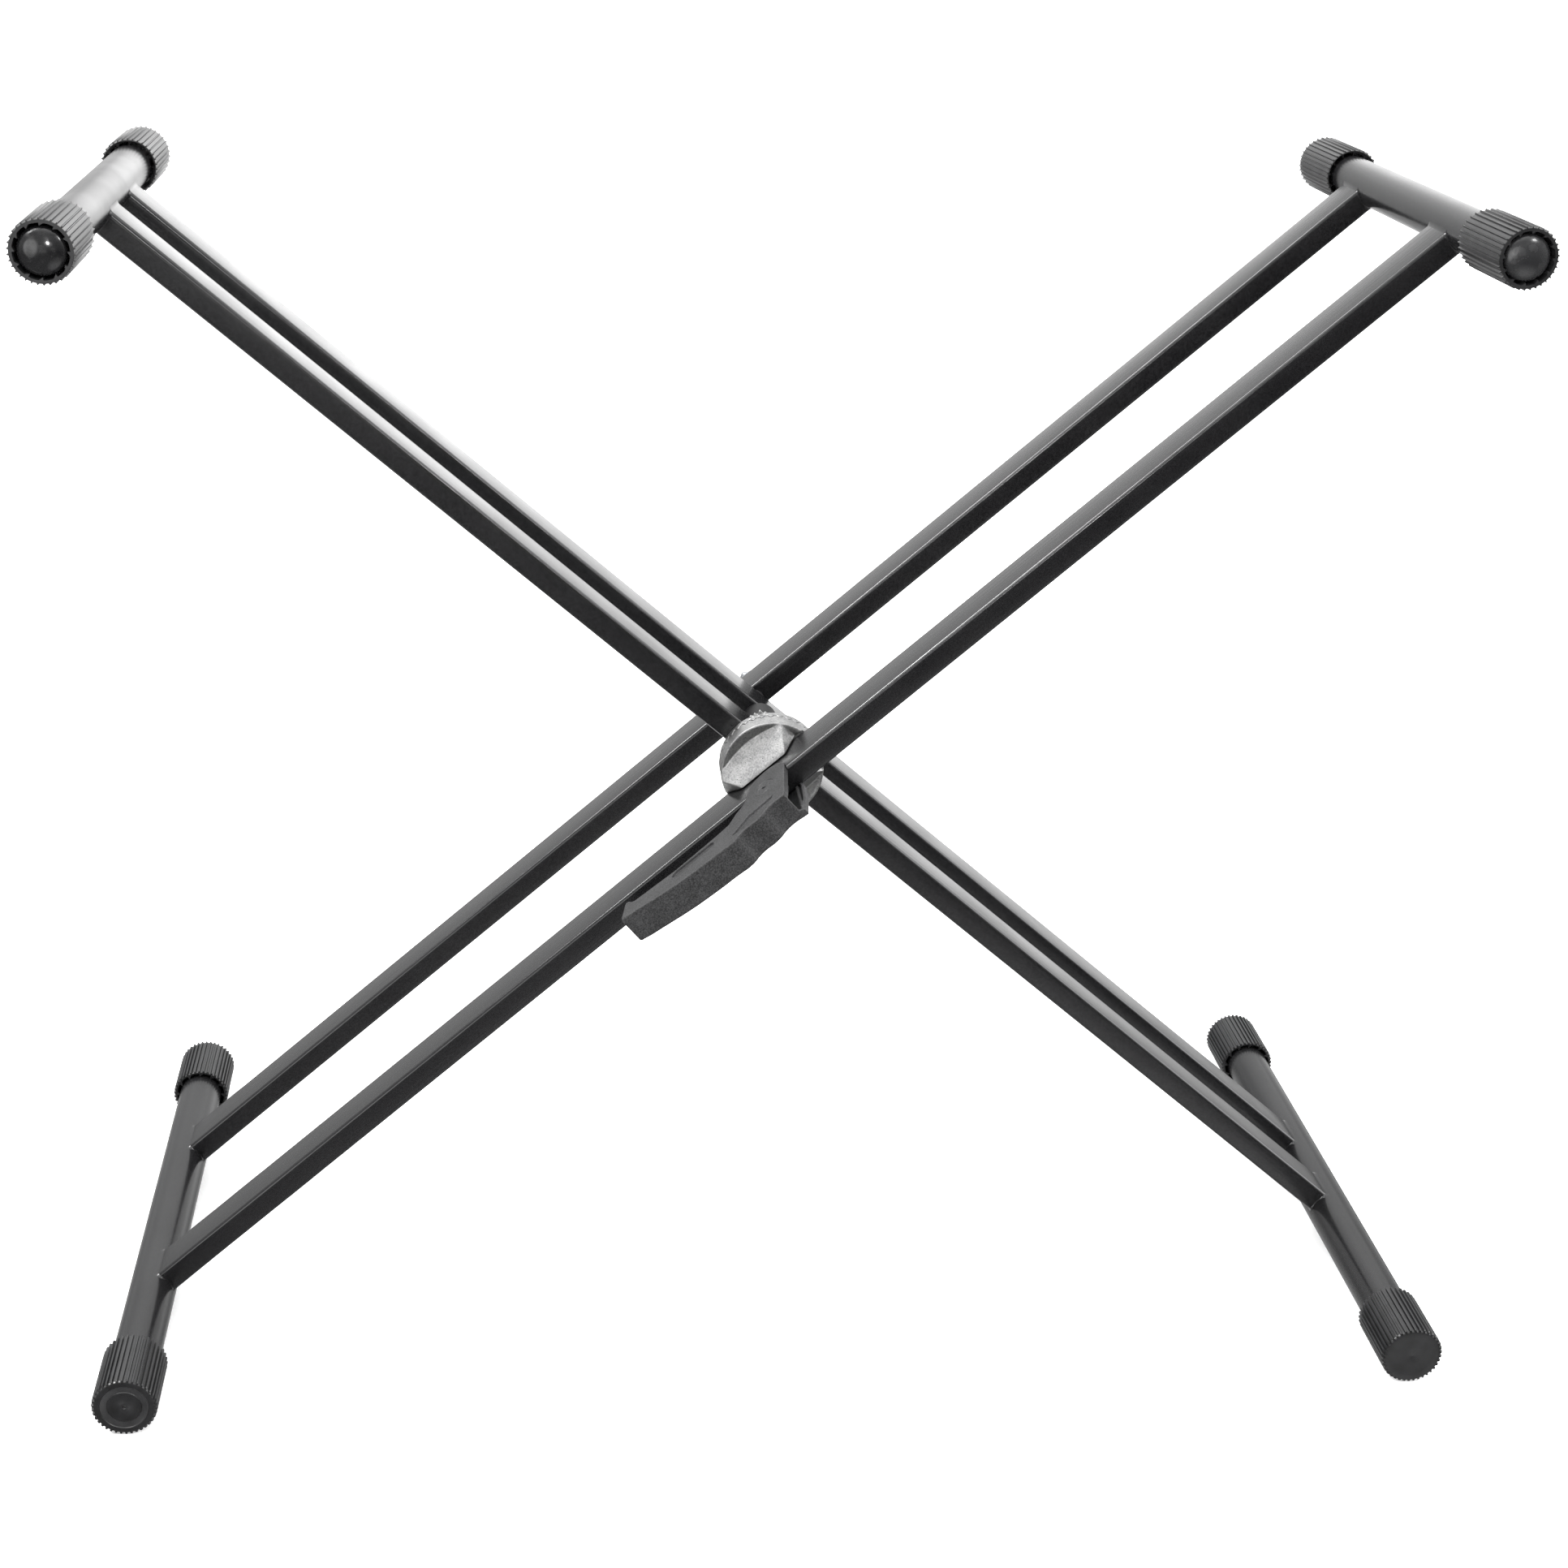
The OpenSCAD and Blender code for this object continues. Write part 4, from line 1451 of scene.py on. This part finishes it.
    def notch(self, u: Array, d: Array, n: Array) -> Array:
        """Shapes the notch in the root end of the front wall and of the upper flange.

        Args:
            u: The points' first coordinate.
            d: Their second coordinate.
            n: Their height over the lever's middle plane.

        Returns:
            The distances, negative inside.
        """
        u_from, d_from, n_from = self.notch_at
        foot = (n_from - self.notch_slope * (u - u_from) - n) * self.notch_cos
        return np.maximum(np.maximum(u_from - u, foot), d_from - d)

    def mould_mark(self, u: Array, d: Array, n: Array) -> Array:
        """Shapes the broken rings and the slit moulded in the upper ear.

        Args:
            u: The points' first coordinate.
            d: Their second coordinate.
            n: Their height over the lever's middle plane.

        Returns:
            The distances, negative inside.
        """
        du, dd = u - self.mark_at[0], d - self.mark_at[1]
        reach, turn = np.hypot(du, dd), np.arctan2(dd, du)
        inner, outer = (np.abs(reach - r) - half for r, half in (self.inner_ring, self.outer_ring))
        # Each ring is broken where a wave round the middle is low
        inner = np.maximum(inner, 0.3 - np.sin(2 * turn + 0.6))
        outer = np.maximum(outer, 0.55 - np.abs(np.sin(turn + 2.6)))
        mark = np.maximum(np.minimum(inner, outer), self.half - self.mark_depth - n)
        cos, sin = self.slit_aim
        slit = np.maximum(np.abs(du * cos + dd * sin) - self.slit_half[0],
                          np.abs(dd * cos - du * sin) - self.slit_half[1])
        return np.minimum(mark, np.maximum(slit, self.half - self.slit_depth - n))

    def build(self) -> None:
        """Makes the lever."""
        low, high = (-self.length - 2, -15.0, -self.half - 1), (16.0, self.front + 5, self.half + 1)
        shell = surface_net(self.solid, low, high, self.cell)
        u, d, n = shell.points.T
        shell.points = self.layout.to_row(np.stack([u, self.layout.tube_face - d, n], -1), Side.OUTER)
        # d runs against y, which turns every face over
        shell.faces = [face[::-1] for face in shell.faces]
        Piece("release_lever", "moulded", self.finish, "lever", self.sharp_deg).make(shell)


@dataclass
class ClutchSpring:
    """The wound spring behind the front inner tube, squeezed as the clutch opens."""

    layout: Layout
    finish: Finish
    start_y: float = -14.5
    length: float = 22.5
    outer_r: float = 8.0
    wire_r: float = 0.9
    wire_steps: int = 12
    turns: int = 8
    per_turn: int = 40
    end_share: float = 0.12
    end_rise: float = 0.075
    stroke: float = 1.7
    sharp_deg: float = 60.0

    def build(self) -> None:
        """Makes the spring."""
        s = np.linspace(0, 1, self.turns * self.per_turn + 1)
        a = s * self.turns * TURN
        r = self.outer_r - self.wire_r
        # The end coils lie closed, so the pitch is smaller there than in the middle
        ease = np.interp(s, [0, self.end_share, 1 - self.end_share, 1],
                         [0, self.end_rise, 1 - self.end_rise, 1])
        y = self.start_y + self.wire_r + ease * (self.length - 2 * self.wire_r)
        path = np.stack([r * np.cos(a), y, self.layout.pivot_z + r * np.sin(a)], -1)
        across = np.stack([np.cos(a), 0 * a, np.sin(a)], -1)[:, None]
        cos, sin = (part[:, None] for part in directions(self.wire_steps))
        rings = path[:, None] + self.wire_r * (cos * across + sin * np.array([0.0, 1.0, 0.0]))
        piece = Piece("clutch_spring", "wound", self.finish, "clutch_slider", self.sharp_deg)
        coil = piece.make(loft(rings))
        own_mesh(coil)


@dataclass
class CapNut:
    """The domed nut on the bolt's rear end, chamfered on its corners."""

    layout: Layout
    finish: Finish
    seat_y: float = 97.5
    flats: float = 13.0
    height: float = 5.0
    chamfer: float = 0.5
    corner_cut: float = 0.05
    top_cut: float = 0.1
    dome_r: float = 6.0
    dome_short: float = 0.02
    dome_steps: int = 12
    steps: int = 96
    sharp_deg: float = 25.0

    def build(self) -> None:
        """Makes the nut."""
        half = self.flats / 2
        a = np.arange(self.steps) * TURN / self.steps
        side = half / np.cos((a + TURN / 12) % (TURN / 6) - TURN / 12)
        full = np.minimum(side, half / math.cos(TURN / 12) - self.corner_cut)
        profile = [(np.minimum(side, half), 0.0), (full, self.chamfer),
                   (full, self.height - self.chamfer), (np.minimum(side, half - self.top_cut), self.height)]
        profile += [(self.dome_r * math.cos(b), self.height + self.dome_r * math.sin(b))
                    for b in np.linspace(0, TURN / 4 - self.dome_short, self.dome_steps)]
        rows = [(r, self.seat_y + h) for r, h in profile]
        across, up = directions(self.steps, math.radians(self.layout.rest_angle))
        shell = loft(turned(rows, (0.0, self.layout.pivot_z), across, up))
        Piece("pivot_nut", "turned", self.finish, "clutch_slider", self.sharp_deg).make(shell)


# Studio


@dataclass(frozen=True)
class PhotoCamera:
    """The camera, from a fit of the stand's edges in a square picture."""

    image_px: float = 1932.0
    focal_px: float = 3070.675
    sensor_mm: float = 36.0
    yaw: float = 0.10616
    pitch: float = 0.3775
    roll: float = -0.02283
    place: tuple[float, float, float] = (-141.154, -1456.128, 899.036)

    def build(self) -> None:
        """Makes the camera and gives it to the scene."""
        ahead = Vector((math.sin(self.yaw) * math.cos(self.pitch),
                        math.cos(self.yaw) * math.cos(self.pitch), -math.sin(self.pitch)))
        right = Vector((math.cos(self.yaw), -math.sin(self.yaw), 0))
        down = ahead.cross(right)
        across = math.cos(self.roll) * right + math.sin(self.roll) * down
        below = -math.sin(self.roll) * right + math.cos(self.roll) * down
        turn = Matrix((across, -below, -ahead)).transposed().to_4x4()
        data = bpy.data.cameras.new("photo_camera")
        data.sensor_width = self.sensor_mm
        data.lens = self.focal_px * self.sensor_mm / self.image_px
        data.clip_start, data.clip_end = 0.05, 100
        camera = bpy.data.objects.new("photo_camera", data)
        camera.matrix_world = Matrix.Translation(Vector(self.place) * MM) @ turn
        bpy.context.scene.collection.objects.link(camera)
        bpy.context.scene.camera = camera


@dataclass(frozen=True)
class Glow:
    """A soft round patch of the studio's surround, which shows in gloss and casts soft light.

    A flag is a dark card, whose level is taken off.
    """

    name: str
    ahead: tuple[float, float, float]
    inner_deg: float
    outer_deg: float
    level: float

    def add(self, tree: bpy.types.NodeTree, where: Socket, total: Socket) -> Socket:
        """Adds this patch to the surround's level.

        Args:
            tree: The world's tree.
            where: Socket of the direction.
            total: Socket of the level so far.

        Returns:
            Socket of the level with this patch.
        """
        turn = add_node(tree, "ShaderNodeVectorMath", {"operation": "DOT_PRODUCT", "label": self.name},
                        {0: where, 1: Vector(self.ahead).normalized()})
        patch = add_node(tree, "ShaderNodeMapRange", {"interpolation_type": "SMOOTHSTEP"},
                         {"Value": turn.outputs["Value"],
                          "From Min": math.cos(math.radians(self.outer_deg)),
                          "From Max": math.cos(math.radians(self.inner_deg)),
                          "To Min": 0.0, "To Max": self.level})
        return add_node(tree, "ShaderNodeMath", {"operation": "ADD"},
                        {0: total, 1: patch.outputs["Result"]}).outputs["Value"]


@dataclass(frozen=True)
class Lamp:
    """A small round studio lamp, aimed at the stand and unseen by the camera."""

    name: str
    ahead: tuple[float, float, float]
    reach: float
    width: float
    watts: float
    aim: tuple[float, float, float] = (0.0, 0.0, 0.4)

    def build(self) -> None:
        """Makes the lamp."""
        data = bpy.data.lights.new(self.name, "AREA")
        data.shape = "DISK"
        data.size = self.width
        data.energy = self.watts
        lamp = bpy.data.objects.new(self.name, data)
        aim = Vector(self.aim)
        lamp.location = aim + Vector(self.ahead).normalized() * self.reach
        lamp.rotation_euler = (aim - lamp.location).to_track_quat("-Z", "Y").to_euler()
        lamp.visible_camera = False
        bpy.context.scene.collection.objects.link(lamp)


@dataclass
class Studio:
    """A pale floor in a soft surround: bright overhead and behind, dim before the stand."""

    floor_half: float = 30.0
    low: float = 0.2
    high: float = 0.75
    rise: tuple[float, float] = (-0.3, 0.15)
    colour: str = "#ffffff"
    glows: tuple[Glow, ...] = (
        Glow("overhead_bank", (0.0, 0.0, 1.0), 30, 60, 1.9),
        Glow("back_panel", (0.10, 0.98, 0.15), 5, 15, 1.0),
        Glow("low_back_panel", (0.25, 0.96, -0.02), 8, 24, 0.9),
        Glow("back_wall", (0.1, 1.0, 0.0), 30, 70, 0.45),
        Glow("left_back_flag", (-0.6, 0.75, 0.1), 5, 30, -0.4),
        Glow("low_right_flag", (0.50, 0.76, -0.42), 5, 18, -0.3),
        Glow("right_back_flag", (0.62, 0.77, 0.16), 8, 18, -0.7),
        Glow("front_left_panel", (-0.50, -0.86, -0.02), 12, 18, 3.0),
        Glow("front_right_flag", (0.45, -0.88, -0.12), 14, 30, -0.36),
        Glow("floor_bounce", (0.30, -0.72, -0.63), 8, 22, 1.0),
        Glow("right_panel", (0.92, 0.2, 0.34), 15, 32, 4.0),
        Glow("under_bounce", (-0.47, 0.18, -0.86), 15, 35, 2.0),
    )
    lamps: tuple[Lamp, ...] = (
        Lamp("left_key", (-0.60, -0.50, 0.62), 3.0, 0.6, 12.0),
        Lamp("low_strip", (-0.73, 0.34, 0.59), 3.0, 0.9, 60.0),
        Lamp("middle_strip", (-0.62, 0.33, 0.71), 3.0, 0.8, 40.0),
        Lamp("high_strip", (-0.46, 0.31, 0.82), 3.0, 0.8, 30.0),
        Lamp("front_spot", (-0.08, -0.97, 0.19), 3.0, 0.16, 14.0),
        Lamp("right_spot", (0.55, -0.63, 0.54), 3.0, 0.3, 18.0),
        Lamp("left_spot", (-0.46, -0.48, 0.75), 3.0, 0.35, 5.0),
    )

    def build(self) -> None:
        """Makes the floor, the surround and the lamps."""
        self.make_floor()
        bpy.context.scene.world = self.make_surround()
        for lamp in self.lamps:
            lamp.build()
        bpy.context.scene.view_settings.view_transform = "Standard"

    def make_floor(self) -> None:
        """Makes the floor."""
        h = self.floor_half
        mesh = bpy.data.meshes.new("studio_floor")
        mesh.from_pydata([(-h, -h, 0), (h, -h, 0), (h, h, 0), (-h, h, 0)], [], [(0, 1, 2, 3)])
        mesh.materials.append(PaleFloor().build())
        floor = bpy.data.objects.new("studio_floor", mesh)
        bpy.context.scene.collection.objects.link(floor)
        # The black coat mirrors the surround alone, as over a floor sweep lit from behind
        floor.visible_glossy = False

    def make_surround(self) -> bpy.types.World:
        """Makes the world that lights the stand and shows in its gloss.

        Returns:
            The world.
        """
        world = bpy.data.worlds.new("studio_surround")
        world.use_nodes = True
        tree = world.node_tree
        tree.nodes.clear()
        where = add_node(tree, "ShaderNodeTexCoord").outputs["Generated"]
        split = add_node(tree, "ShaderNodeSeparateXYZ", None, {"Vector": where})
        total = add_node(tree, "ShaderNodeMapRange", {"interpolation_type": "SMOOTHSTEP"},
                         {"Value": split.outputs["Z"], "From Min": self.rise[0],
                          "From Max": self.rise[1], "To Min": self.low,
                          "To Max": self.high}).outputs["Result"]
        for glow in self.glows:
            total = glow.add(tree, where, total)
        shine = add_node(tree, "ShaderNodeBackground", None, {"Strength": total})
        # The lens itself sees a plain white sweep
        sweep = add_node(tree, "ShaderNodeBackground", None, {"Strength": 1.0})
        for light in (shine, sweep):
            light.inputs["Color"].default_value = linear(self.colour)
        seen = add_node(tree, "ShaderNodeLightPath").outputs["Is Camera Ray"]
        both = add_node(tree, "ShaderNodeMixShader", None,
                        {0: seen, 1: shine.outputs["Background"], 2: sweep.outputs["Background"]})
        add_node(tree, "ShaderNodeOutputWorld", None, {"Surface": both.outputs["Shader"]})
        return world


def dress_hidden_nodes(nodes: dict[str, bpy.types.Object], black: Finish, zinc: Finish) -> None:
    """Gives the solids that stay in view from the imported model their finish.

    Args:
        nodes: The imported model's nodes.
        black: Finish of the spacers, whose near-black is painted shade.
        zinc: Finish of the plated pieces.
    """
    # The spacers take the near-black finish: painted shade for the shade between the tubes
    kept = {"inner_spacer_tube": black, "rear_spacer": black}
    kept.update({f"{s.value}_{e.word}_bushing": zinc for s in Side for e in End})
    kept.update({name: zinc for name in ("spring_washer", "pivot_bolt", "disc_clip",
                                         "spring_collar", "lever_pin")})
    for name, finish in kept.items():
        nodes[name].data.materials.clear()
        nodes[name].data.materials.append(finish.build())


def main() -> None:
    """Builds the stand's pieces in order, then the studio."""
    logging.basicConfig(level=logging.INFO, format="%(message)s")
    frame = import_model()
    layout = Layout()
    coat, rubber, gloss = PowderCoat(), MouldedRubber(), GlossMoulding()
    # A paler copy of the rubber for the ring on the outer caps' end faces: the lower roughness is the ring's
    # polish, the paler colour is painted sheen
    smooth = MouldedRubber("polished_rubber_ring", dark="#1b1b1c", pale="#272728", roughness=0.32)
    cap_rubber = MouldedRubber("foot_cap_rubber", dark="#0b0b0c", pale="#18181a")
    # A paler, rougher copy of the gloss plastic for the outer frame's plugs: the paler colour is painted
    # reflection, a wider grey patch on those domes
    gloss_with_painted_reflection = GlossMoulding("hazed_moulded_plastic", colour="#202021", roughness=0.2)
    cast, nylon, zinc = DieCastAluminium(), GlassFilledNylon(), ZincPlate()
    for side in Side:
        outer = side is Side.OUTER
        slope = -side.arm_sign * math.radians(layout.rest_angle)
        rolled = PowderCoat(f"powder_coated_{side.value}_tube", rolled_at=slope)
        SteelFrame(side, layout, coat, rolled).build()
        for end in End:
            ArmSleeve(side, end, layout, rubber).build()
            BarPlug(side, end, layout, gloss_with_painted_reflection if outer else gloss).build()
            FootCap(side, end, layout, cap_rubber, ring_finish=smooth if outer else None).build()
    for end in End:
        ClutchDisc(end, layout, cast).build()
    ReleaseLever(layout, nylon).build()
    ClutchSpring(layout, zinc).build()
    CapNut(layout, zinc).build()
    dress_hidden_nodes(frame["nodes"], BlackOxide(), zinc)
    PhotoCamera().build()
    Studio().build()


if __name__ == "__main__":
    main()
